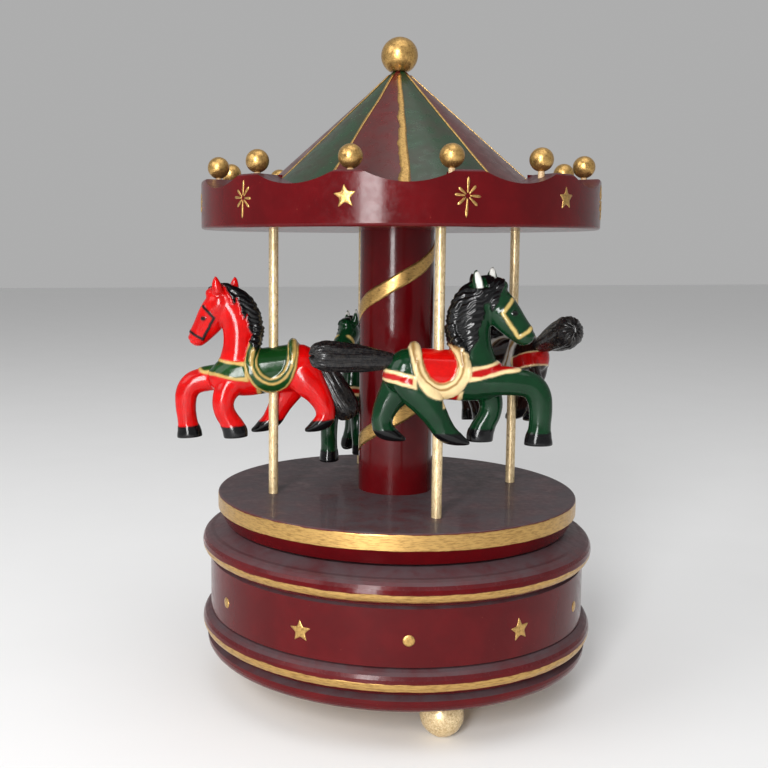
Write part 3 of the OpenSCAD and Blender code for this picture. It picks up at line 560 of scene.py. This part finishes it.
def roof_lines(gold):
    """Thin gold lines between the roof's panels, and one broad ragged band that widens towards the rim."""
    for index, edge in enumerate(ROOF_EDGES):
        broad = index == 2
        lines = []
        steps = 60
        for i in range(steps + 1):
            share = i / steps
            wander = 0.3 * noise.noise(Vector((share * 5, edge, 0)))
            left = 0.34 + 0.1 * noise.noise(Vector((share * 20, edge, 4)))
            right = left
            if broad:
                ragged = 0.5 * noise.noise(Vector((share * 14, 7.7, 1)))
                ragged += 0.3 * noise.noise(Vector((share * 45, 2.2, 1)))
                left = 0.5 + 2.0 * share ** 0.8 + ragged * (0.4 + share)
                left = max(left, 0.3)
            upper, lower = [], []
            for k in range(5):
                across = k / 4
                sideways = wander - left + (left + right) * across
                lift = 0.03 + 0.07 * (1 - (2 * across - 1) ** 4)
                upper.append(cone_point(edge, share, lift, sideways))
                lower.append(cone_point(edge, share, -0.12, sideways))
            lines.append(upper + lower[::-1])
        points, faces = strip(lines)
        mesh_object(f"roof_line_{index + 1}", points, faces, gold, "carousel")


# ---------- horses ----------

def curve_through(rows, per=6):
    """Catmull-Rom curve through rows of numbers."""
    rows = np.array(rows, float)
    padded = np.vstack([2 * rows[0] - rows[1], rows, 2 * rows[-1] - rows[-2]])
    out = []
    for i in range(1, len(padded) - 2):
        a, b, c, d = padded[i - 1:i + 3]
        for k in range(per):
            t = k / per
            square, cube = 2 * a - 5 * b + 4 * c - d, 3 * b - a - 3 * c + d
            out.append(0.5 * (2 * b + (c - a) * t + square * t * t + cube * t ** 3))
    out.append(rows[-1])
    return np.array(out)


def limb(stations, sides=28, square=2.0):
    """Points and faces of a limb; stations are x, z, half height, half width, y, in millimetres."""
    rows = curve_through(stations)
    rows[:, 2:4] = np.maximum(rows[:, 2:4], 0.15)
    ahead = np.gradient(rows[:, :2], axis=0)
    ahead /= np.linalg.norm(ahead, axis=1)[:, None]
    t = np.linspace(0, 2 * math.pi, sides, endpoint=False)
    c = np.sign(np.cos(t)) * np.abs(np.cos(t)) ** (2 / square)
    s = np.sign(np.sin(t)) * np.abs(np.sin(t)) ** (2 / square)
    points = []
    for row, d in zip(rows, ahead):
        for ck, sk in zip(c, s):
            points.append((row[0] - d[1] * row[2] * ck, row[4] + row[3] * sk, row[1] + d[0] * row[2] * ck))
    faces = []
    n = len(rows)
    for i in range(n - 1):
        for k in range(sides):
            j = (k + 1) % sides
            faces.append((i * sides + k, i * sides + j, (i + 1) * sides + j, (i + 1) * sides + k))
    faces.append(tuple(range(sides - 1, -1, -1)))
    faces.append(tuple(range((n - 1) * sides, n * sides)))
    return points, faces


HORSE_LIMBS = {
    "torso": [(-13.0, 19.2, 1.2, 1.2, 0), (-12.3, 18.9, 3.6, 2.8, 0), (-10.2, 18.3, 5.3, 4.4, 0),
              (-6.5, 17.7, 6.1, 5.1, 0),
              (-2, 17.3, 6.2, 5.2, 0), (3, 17.0, 6.2, 5.2, 0), (8, 16.5, 6.0, 5.1, 0),
              (12.5, 16.2, 5.1, 4.7, 0),
              (15.6, 16.4, 3.7, 3.6, 0), (17.4, 16.8, 1.6, 1.8, 0)],
    "neck": [(9.8, 14.5, 5.8, 3.8, 0), (9.3, 19.5, 5.3, 3.8, 0), (8.5, 24.5, 4.5, 3.5, -0.1),
             (8.2, 29.5, 4.6, 3.4, -0.3),
             (9.5, 34, 4.6, 3.1, -0.5), (11.6, 37.4, 3.7, 2.8, -0.6), (13.6, 39.6, 1.9, 1.9, -0.8)],
    "head": [(10.6, 38.0, 1.8, 1.8, -0.2), (12.2, 36.8, 3.7, 2.9, -0.4), (14.2, 34.6, 4.1, 3.2, -1.0),
             (16.2, 31.8, 4.0, 3.1, -1.9),
             (18.2, 29.4, 3.4, 2.8, -2.8), (19.9, 27.6, 2.9, 2.5, -3.4), (21.2, 26.4, 2.3, 2.2, -3.8),
             (21.9, 25.7, 1.2, 1.4, -4.0)],
    "brow": [(12.6, 37.3, 2.2, 2.2, -0.6), (14.4, 38.6, 2.3, 2.3, -0.8), (15.7, 38.9, 1.7, 1.9, -0.9),
             (16.6, 38.7, 0.6, 0.8, -0.9)],
    "fore_reaching": [(9, 15.6, 3.8, 2.6, -2.2), (14, 15.8, 3.6, 2.8, -2.7), (18.6, 15.6, 3.4, 2.7, -3.0),
                      (22.4, 14.7, 3.3, 2.6, -3.0),
                      (24.4, 12.2, 3.15, 2.5, -3.0), (25.0, 8.6, 2.9, 2.4, -3.0),
                      (24.9, 5.2, 2.75, 2.35, -3.0),
                      (24.75, 3.0, 2.95, 2.45, -3.0), (24.6, 1.4, 3.3, 2.6, -3.0),
                      (24.6, -0.2, 3.5, 2.7, -3.0)],
    "fore_standing": [(10.5, 15, 3.6, 2.6, 2.2), (12.9, 12.4, 3.3, 2.6, 2.7), (13.9, 9.6, 3.0, 2.5, 3.0),
                      (13.7, 7.0, 2.85, 2.4, 3.0),
                      (12.7, 4.8, 2.85, 2.4, 3.0), (11.8, 3.0, 3.1, 2.5, 3.0), (11.3, 1.4, 3.3, 2.6, 3.0),
                      (11.2, -0.2, 3.2, 2.6, 3.0)],
    "hind_forward": [(-7.4, 17.4, 5.0, 3.0, -2.2), (-5.6, 13.8, 4.9, 3.1, -2.6),
                     (-3.4, 10.6, 4.0, 2.8, -2.9), (-1.4, 7.6, 3.3, 2.6, -3.0),
                     (0.1, 5.1, 2.9, 2.4, -3.0), (1.7, 3.1, 2.6, 2.5, -3.0), (3.8, 1.8, 1.9, 2.4, -3.0),
                     (5.8, 0.9, 1.0, 1.9, -3.0),
                     (7.3, 0.4, 0.35, 0.9, -3.0)],
    "hind_back": [(-7.4, 17.4, 5.0, 3.0, 2.2), (-9.4, 13.8, 4.7, 3.0, 2.6), (-11.6, 10.6, 3.6, 2.7, 2.9),
                  (-13.1, 7.6, 3.0, 2.5, 3.0),
                  (-13.6, 5.0, 2.7, 2.35, 3.0), (-13.0, 3.1, 2.6, 2.45, 3.0), (-11.2, 1.8, 1.9, 2.4, 3.0),
                  (-9.2, 0.9, 1.0, 1.9, 3.0),
                  (-7.7, 0.4, 0.35, 0.9, 3.0)],
    "crest": [(13.0, 40.6, 1.0, 1.0, -0.5), (10.2, 39.2, 1.8, 1.5, -0.3), (7.2, 36.9, 2.2, 1.7, -0.1),
              (4.9, 33.6, 2.1, 1.8, 0),
              (4.0, 29.8, 1.9, 1.7, 0), (5.0, 25.6, 1.7, 1.5, 0), (6.4, 22.5, 1.2, 1.2, 0)],
    "right_ear": [(9.5, 37.4, 1.5, 1.2, -1.9), (9.0, 39.8, 1.5, 1.0, -2.2), (8.6, 41.7, 1.05, 0.75, -2.3),
                  (8.4, 43.2, 0.3, 0.3, -2.3)],
    "left_ear": [(13.0, 39.0, 1.5, 1.2, 1.3), (13.2, 40.9, 1.45, 1.0, 1.6), (13.3, 42.5, 1.0, 0.75, 1.7),
                 (13.3, 43.8, 0.3, 0.3, 1.7)],
    "pommel": [(5.6, 19.5, 1.7, 5.0, 0), (5.0, 22.6, 1.6, 4.4, 0), (4.4, 25.0, 1.3, 3.3, 0),
               (3.7, 27.2, 0.8, 2.0, 0), (3.2, 28.6, 0.35, 0.8, 0)],
    "cantle": [(-6.2, 18.8, 1.4, 5.2, 0), (-5.9, 21.8, 1.3, 4.6, 0), (-6.1, 23.9, 0.9, 3.2, 0),
               (-6.4, 24.8, 0.4, 1.6, 0)],
}

# outlines on the horse's side, x forward and z up
SADDLE_RIM = [(-7.7, 25.2), (-7.5, 21.5), (-6.6, 17.4), (-4.6, 13.6), (-1.8, 11.7), (1.4, 11.3),
              (4.4, 13.0), (6.4, 16.0),
              (7.2, 19.4), (6.3, 23.2), (4.8, 26.6), (3.6, 29.6), (2.0, 29.0), (1.6, 26.4), (-3, 26.5)]
SADDLE_SEAT = [(-4.9, 26), (-4.8, 22.0), (-3.9, 18.6), (-2.0, 16.3), (0.4, 15.7), (2.6, 17.0), (3.7, 19.6),
               (3.2, 22.6), (1.8, 24.4), (1.4, 26)]
MANE_RIGHT = [(16.2, 42.8), (15.4, 40.0), (14.4, 37.2), (13.2, 34.2), (12.3, 32.8), (11.6, 35.2),
              (10.4, 34.8), (10.2, 31.4), (9.0, 29.0),
              (9.0, 26.0), (7.6, 24.0), (6.6, 21.6), (5.2, 23.2), (0, 28), (0, 36), (6, 42), (11, 44)]
MANE_LEFT = [(13.4, 43.0), (11.0, 40.4), (9.6, 37.6), (8.8, 35.6), (8.2, 37.4), (7.2, 34.2), (6.6, 31.6),
             (5.7, 33.0), (5.6, 29.2),
             (4.9, 27.6), (5.2, 25.0), (4.4, 23.0), (0, 28), (0, 36), (6, 42), (11, 44)]
BREAST_STRAP = [(6.4, 17.6), (9.5, 17.9), (12.5, 18.6), (15, 19.3), (18.5, 19.6)]
BREECHING = [(-6.0, 15.6), (-8.5, 16.2), (-11, 16.9), (-14, 17.3)]
BRIDLE = [(17.4, 35.9), (14.7, 32.6), (16.5, 29.8), (18.5, 26.8), (22.6, 29.6)]
EYE = (17.6, 32.6)


def side_distance(points, line, closed=False):
    """Distance of (x, z) points from a polyline."""
    line = np.array(line, float)
    if closed:
        line = np.vstack([line, line[:1]])
    best = np.full(len(points), 1e9)
    for a, b in zip(line[:-1], line[1:]):
        along = b - a
        t = np.clip(((points - a) @ along) / (along @ along), 0, 1)
        best = np.minimum(best, np.linalg.norm(points - a - t[:, None] * along, axis=1))
    return best


def side_inside(points, outline):
    outline = np.array(outline, float)
    x, z = points[:, 0], points[:, 1]
    inside = np.zeros(len(points), bool)
    for a, b in zip(outline, np.roll(outline, -1, axis=0)):
        crosses = (a[1] > z) != (b[1] > z)
        slope = (b[0] - a[0]) / (b[1] - a[1] + 1e-12)
        inside ^= crosses & (x < a[0] + slope * (z - a[1]))
    return inside


def signed(points, outline, smooth=True):
    """Signed distance from a closed outline, negative inside."""
    if smooth:
        rows = np.array(outline + outline[:1], float)
        outline = [tuple(p) for p in curve_through(rows, 5)[:-1]]
    away = side_distance(points, outline, closed=True)
    return np.where(side_inside(points, outline), -away, away)


def cover(distance, soft=0.16):
    """1 inside a painted edge and 0 outside it."""
    return np.clip(0.5 - distance / (2 * soft), 0, 1)


def noise_at(points, size, seed=0.0):
    return np.array([noise.noise(Vector((p[0] / size + seed, p[1] / size, p[2] / size))) for p in points])


def horse_shape():
    """Vertices, faces and normals of one horse in millimetres, remeshed into a single skin."""
    points, faces = [], []
    for stations in HORSE_LIMBS.values():
        local, local_faces = limb(stations)
        base = len(points)
        points += local
        faces += [tuple(base + i for i in face) for face in local_faces]
    data = bpy.data.meshes.new("horse_draft")
    data.from_pydata(points, [], faces)
    draft = bpy.data.objects.new("horse_draft", data)
    bpy.context.scene.collection.objects.link(draft)
    remesh = draft.modifiers.new("skin", "REMESH")
    remesh.mode = "VOXEL"
    remesh.voxel_size = 0.3
    soften = draft.modifiers.new("soften", "SMOOTH")
    soften.factor = 0.5
    soften.iterations = 7
    bpy.context.view_layer.update()
    evaluated = draft.evaluated_get(bpy.context.evaluated_depsgraph_get())
    result = bpy.data.meshes.new_from_object(evaluated)
    bpy.data.objects.remove(draft)
    return result


def horse_paint(co, scheme):
    """Colour of each vertex and its relief along the normal, for a scheme of colours."""
    side = co[:, [0, 2]].copy()
    side[:, 0] += 0.12 * noise_at(co, 1.3, 5.0)
    side[:, 1] += 0.12 * noise_at(co, 1.3, 11.0)
    x, z, y = side[:, 0], side[:, 1], co[:, 1]
    colour = np.tile(np.array(scheme["coat"], float), (len(co), 1))
    relief = np.zeros(len(co))

    def lay(mask, tone):
        nonlocal colour
        colour = colour * (1 - mask[:, None]) + np.array(tone, float) * mask[:, None]

    def band(line, half, inner, ends):
        """A strap with pale edges and a coloured middle."""
        nonlocal relief
        away = side_distance(side, line)
        inside = cover(away - half) * cover(ends)
        lay(inside, scheme["edge"])
        lay(cover(away - inner) * cover(ends + 1.0), scheme["strap"])
        relief += 0.28 * cover(away - half, 0.25) * cover(ends)

    trunk = np.where((z > 10) & (z < 23), 1.0, 0.0)
    if scheme["breeching"]:
        band(BREECHING, scheme["breech_half"], scheme["breech_inner"], np.where(trunk > 0, x + 6.2, 9))
    strap_half = scheme["strap_half"] + 0.35 * np.clip((12 - x) / 6, 0, 1)
    strap_inner = strap_half - scheme["strap_margin"] - 0.5 * np.clip((9.5 - x) / 3, 0, 1)
    away = side_distance(side, BREAST_STRAP)
    within = cover(away - strap_half) * cover(6.4 - x)
    lay(within, scheme["edge"])
    lay(cover(away - strap_inner) * cover(7.2 - x), scheme["strap"])
    relief += 0.28 * cover(away - strap_half, 0.25) * cover(6.4 - x)
    # girth
    girth = np.maximum(np.abs(x - 2.9) - scheme["girth_half"], z - 13.5)
    girth = np.maximum(girth, 9.3 - z)
    upper = np.abs(y) < 5.6
    lay(cover(girth) * upper, scheme["edge"])
    lay(cover(girth + 1.0) * upper, scheme["strap"])
    # saddle
    rim, seat = signed(side, SADDLE_RIM), signed(side, SADDLE_SEAT)
    above = z > 10.9
    on_rim = cover(rim) * above
    lay(on_rim, scheme["rim"])
    line = np.abs(seat - 1.55) - 0.3
    lay(cover(line) * on_rim, scheme["rim_line"])
    lay(cover(np.abs(seat - 0.25) - 0.28) * on_rim, scheme["rim_line"])
    lay(cover(seat) * above, scheme["saddle"])
    if scheme["rim_edge"]:
        lay(cover(np.abs(rim + 0.35) - 0.28) * above, scheme["rim_edge"])
    swell = np.clip(1 - (np.abs((rim + seat) * 0.5) / 2.2) ** 2, 0, 1) * (rim < 0) * (seat > 0)
    relief += above * (0.35 * cover(rim, 0.3) + 0.25 * swell - 0.2 * cover(seat, 0.3))
    # bridle and eye
    on_head = (x > 13.6) & (z > 24.5)
    bridle = side_distance(side, BRIDLE)
    lay(cover(bridle - 0.42) * on_head, scheme["bridle"])
    relief += 0.12 * cover(bridle - 0.42, 0.25) * on_head
    eye = np.hypot((x - EYE[0]), (z - EYE[1]) * 1.15)
    lay(cover(eye - 0.75) * on_head, (0.004, 0.004, 0.004))
    relief += 0.3 * np.clip(1 - (eye / 0.95) ** 2, 0, 1) * on_head
    nostril = np.hypot(x - 22.4, z - 28.2)
    relief -= 0.3 * np.clip(1 - nostril / 0.7, 0, 1) * on_head
    mouth = side_distance(side, [(23.4, 26.6), (20.6, 26.4)])
    relief -= 0.22 * np.clip(1 - mouth / 0.4, 0, 1) * on_head
    # hooves
    sole = z - 3.1 - 0.25 * noise_at(co, 2.0, 2.0)
    lay(cover(sole), BLACK)
    relief += 0.12 * cover(sole, 0.3)
    # mane
    tip = np.where(y < 0.2, signed(side, MANE_RIGHT, False), signed(side, MANE_LEFT, False))
    tip = tip + 0.35 * noise_at(co, 0.9, 21.0)
    ears = [(side_distance(side, line) < reach) & facing & (z > base) for line, reach, facing, base in (
        (((9.5, 37.4), (8.4, 43.2)), 2.1, y < -1.0, 38.8),
        (((13.0, 39.0), (13.3, 43.8)), 2.1, y > 0.6, 40.2))]
    mane = cover(tip, 0.12) * (z > 21) * ~(ears[0] | ears[1])
    strand = 0.85 * z - 0.5 * x + 0.9 * noise_at(co, 2.6, 31.0)
    ridges = np.abs(np.sin(math.pi * strand / 1.15)) + 0.35 * np.abs(np.sin(math.pi * strand / 0.47))
    lay(mane, BLACK)
    relief += mane * (0.15 + 0.34 * ridges)
    # ears
    if scheme["ear"]:
        for line, facing in ((((9.3, 39.0), (8.7, 42.0)), y < -1.0), (((13.2, 40.9), (13.3, 42.8)), y > 0.6)):
            lay(cover(side_distance(side, line) - 0.72) * facing * (z > 38.6), scheme["ear"])
    return colour, relief


CREAM = (0.72, 0.54, 0.28)
STRAP_RED = (0.36, 0.004, 0.004)
BLACK = (0.003, 0.003, 0.0035)
GREEN_SCHEME = {
    "coat": (0.002, 0.026, 0.008), "edge": CREAM, "strap": STRAP_RED, "rim": CREAM,
    "rim_line": (0.28, 0.16, 0.05),
    "saddle": (0.5, 0.003, 0.002), "bridle": (0.5, 0.36, 0.12), "ear": (0.75, 0.74, 0.7), "breeching": True,
    "breech_half": 1.55,
    "breech_inner": 0.72, "strap_half": 1.45, "strap_margin": 0.75, "girth_half": 2.5, "rim_edge": None,
}
RED_SCHEME = {
    "coat": (0.5, 0.002, 0.002), "edge": (0.5, 0.33, 0.1), "strap": (0.006, 0.045, 0.007),
    "rim": (0.006, 0.045, 0.008),
    "rim_line": (0.5, 0.33, 0.1), "saddle": (0.004, 0.036, 0.006), "bridle": BLACK, "ear": None,
    "breeching": False,
    "strap_half": 2.3, "strap_margin": 0.8, "girth_half": 1.6, "rim_edge": (0.5, 0.33, 0.1),
}
# right horse: its brownish-black coat is painted shadow, a white coat painted as it looks in the front
# horse's shadow
SHADOW_COAT_SCHEME = dict(GREEN_SCHEME, coat=(0.014, 0.005, 0.004), rim=(0.72, 0.69, 0.64),
                   saddle=(0.02, 0.006, 0.005), ear=None, bridle=(0.5, 0.36, 0.12),
                   breech_half=2.1, breech_inner=1.75, strap_margin=0.35)

# per horse: angle of its pole, heading, height of the hooves, nose tipped down; tail pitch, swing and roll
RIDERS = {
    "front": (-90, -10, 19, 0, (0, 0, 0), GREEN_SCHEME, "green_enamel"),
    # right horse: coat colour is painted shadow
    "right": (0, 106, 18.3, 8, (10, -16, 90), SHADOW_COAT_SCHEME, "dark_enamel"),
    "back": (90, 239, 5.4, 0, (12, 0, 0), GREEN_SCHEME, "green_enamel"),
    "left": (180, 166, 17, 4.5, (-70, 0, 0), RED_SCHEME, "red_enamel"),
}
TIP_HEIGHT = 14


def rider_matrix(name):
    around, heading, lift, tip = RIDERS[name][:4]
    a = math.radians(around)
    place = Vector((POLE_CIRCLE * math.cos(a), POLE_CIRCLE * math.sin(a), PLATFORM_TOP + lift)) * MM
    centre = Matrix.Translation((0, 0, TIP_HEIGHT))
    lean = centre @ Matrix.Rotation(math.radians(tip), 4, "Y") @ centre.inverted()
    turn = Matrix.Rotation(math.radians(heading), 4, "Z")
    return Matrix.Translation(place) @ turn @ Matrix.Scale(MM, 4) @ lean


def make_horses(skin):
    base = horse_shape()
    co = np.empty(len(base.vertices) * 3)
    base.vertices.foreach_get("co", co)
    co = co.reshape(-1, 3)
    co[:, 2] = np.maximum(co[:, 2], 0)
    normal = np.empty(len(base.vertices) * 3)
    base.vertices.foreach_get("normal", normal)
    normal = normal.reshape(-1, 3)
    done = {}
    for name, (*_, scheme, slot) in RIDERS.items():
        key = id(scheme)
        if key not in done:
            done[key] = horse_paint(co, scheme)
        colour, relief = done[key]
        data = base.copy()
        data.name = f"horse_{name}_figure"
        data.vertices.foreach_set("co", (co + normal * relief[:, None]).ravel())
        paint = data.color_attributes.new("paint", "FLOAT_COLOR", "POINT")
        paint.data.foreach_set("color", np.hstack([colour, np.ones((len(colour), 1))]).ravel())
        data.transform(rider_matrix(name))
        data.shade_smooth()
        data.materials.clear()
        data.materials.append(skin)
        data.update()
        figure = bpy.data.objects.new(data.name, data)
        bpy.context.scene.collection.objects.link(figure)
        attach(figure, f"{name}_rider")
        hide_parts(f"horse_{name}")
        make_tail(name, hair)


TAIL = [(0.8, 0, 1.9, 1.6), (-2.0, 0.1, 2.5, 2.1), (-5.5, 0.4, 3.0, 2.8), (-9.5, 0.7, 3.4, 3.5),
        (-13.5, 1.0, 3.7, 4.0),
        (-16.8, 1.2, 3.6, 4.1), (-18.8, 1.3, 2.7, 3.1), (-19.6, 1.3, 0.6, 0.9)]


def make_tail(name, material):
    """A brush-like tail of moulded strands, let into the rump."""
    rows = curve_through(TAIL, 8)
    sides = 96
    points = []
    for row in rows:
        s = -row[0]
        for k in range(sides):
            t = 2 * math.pi * k / sides
            around = Vector((math.cos(t), math.sin(t), 0))
            slow = noise.noise(around + Vector((0, 0, s * 0.12)))
            quick = noise.noise(2 * around + Vector((0, 0, s * 0.2)))
            lock = math.sin(9 * t + 0.16 * s + 2.2 * slow)
            fine = math.sin(31 * t + 0.3 * s + 3 * quick)
            grow = min(1.0, s / 6) if s > 0 else 0.0
            reach = 1 + grow * (0.055 * lock + 0.03 * fine)
            along = row[0] + 0.5 * grow * lock * (s > 15)
            points.append((along, row[3] * reach * around.y, row[1] + row[2] * reach * around.x))
    n = len(rows)
    faces = [(i * sides + k, i * sides + (k + 1) % sides, (i + 1) * sides + (k + 1) % sides,
              (i + 1) * sides + k)
             for i in range(n - 1) for k in range(sides)]
    faces.append(tuple(range(sides - 1, -1, -1)))
    faces.append(tuple(range((n - 1) * sides, n * sides)))
    data = bpy.data.meshes.new(f"tail_{name}_brush")
    data.from_pydata(points, [], faces)
    root = Matrix.Translation((-12.2, 0, 20.6))
    pitch, swing, roll = (math.radians(a) for a in RIDERS[name][4])
    turn = Matrix.Rotation(swing, 4, "Z") @ Matrix.Rotation(pitch, 4, "Y") @ Matrix.Rotation(roll, 4, "X")
    data.transform(rider_matrix(name) @ root @ turn)
    data.shade_smooth()
    data.materials.append(material)
    tail = bpy.data.objects.new(data.name, data)
    bpy.context.scene.collection.objects.link(tail)
    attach(tail, f"{name}_rider")
    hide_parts(f"tail_{name}")


# ---------- materials on the CAD nodes ----------

def dress(material, *names):
    for name in names:
        node = NODES[name]
        node.data.materials.clear()
        node.data.materials.append(material)


def hair_enamel():
    shader = Shader("hair_enamel")
    tone = shader.mix(shader.step(shader.noise(0.8, 4), 0.35, 0.75), (0.004, 0.004, 0.005),
                      (0.02, 0.017, 0.015))
    shader.set(color=tone, rough=shader.step(shader.noise(1.2, 3), 0.3, 0.7, 0.2, 0.36), specular=0.3,
               coat=0.2, coat_rough=0.1,
               normal=shader.bump(shader.noise(0.35, 4), 0.02))
    return shader.material


def dress_all():
    dress(lacquer("drum_lacquer", [(16.4, 18.4), (38.0, 40.0)], 0.75), "base_drum")
    dress(lacquer("platform_lacquer", [(PLATFORM_TOP - 4.4, PLATFORM_TOP - 0.45)], 0.95), "platform")
    dress(lacquer("canopy_lacquer", (), 0.5, 4.0), "canopy_ring")
    dress(lacquer("column_lacquer"), "column")
    dress(roof_paint("roof_panels", ROOF_EDGES, ROOF_RED_FIRST), "roof_cone")
    dress(gold_paint("ball_gold"), "finial_ball", "rim_balls")
    dress(gold_paint("pole_gold", (1.6, 1.6, 0.3), pale=True), "pole_front", "pole_right", "pole_back",
          "pole_left")
    dress(gold_paint("foot_gold", pale=True), "ball_feet")
    dress(bare_wood("board_beech", (0.52, 0.36, 0.2), (0.36, 0.22, 0.1), (1, 0.1, 1)), "bottom_board")
    dress(bare_wood("dowel_beech", (0.6, 0.44, 0.26), (0.42, 0.27, 0.13)), "column_dowels", "cone_dowel",
          "finial_peg", "rim_pegs")
    brass = metal("machined_brass", (0.72, 0.48, 0.18), 0.3)
    dress(brass, "barrel", "barrel_cover", "click", "pinned_cylinder", "cylinder_wheel", "governor_wheel",
          "air_brake",
          "platform_insert")
    dress(metal("key_plate", (0.74, 0.52, 0.22), 0.36), "winding_key")
    steel = metal("bright_steel", (0.6, 0.6, 0.61), 0.28)
    dress(steel, "board_screws", "foot_screws", "bedplate_screws", "bridge_screws", "output_stud",
          "winding_arbor",
          "click_screw", "comb_screws", "bracket_screws", "barrel_bridge")
    dress(metal("spring_steel_blue", (0.3, 0.33, 0.4), 0.25), "mainspring")
    dress(metal("hard_steel", (0.5, 0.5, 0.52), 0.22), "ratchet_wheel", "cylinder_pinion", "cylinder_arbor",
          "governor_arbor", "worm")
    dress(metal("ground_steel", (0.62, 0.62, 0.63), 0.34, (1, 6, 1)), "comb")
    dress(metal("zinc_cast", (0.5, 0.49, 0.46), 0.55, metallic=0.8), "bedplate", "governor_bracket")


bpy.context.scene.view_settings.view_transform = "Standard"
make_camera()
make_stage()
dress_all()
ornament_gold = gold_paint("ornament_gold", (1, 1, 1))
drum_ornament(ornament_gold)
canopy_ornament(ornament_gold)
column_ribbon(gold_paint("ribbon_gold", (0.5, 0.5, 2.2)))
roof_lines(gold_paint("line_gold"))
hair = hair_enamel()
make_horses(enamel("figure_enamel"))
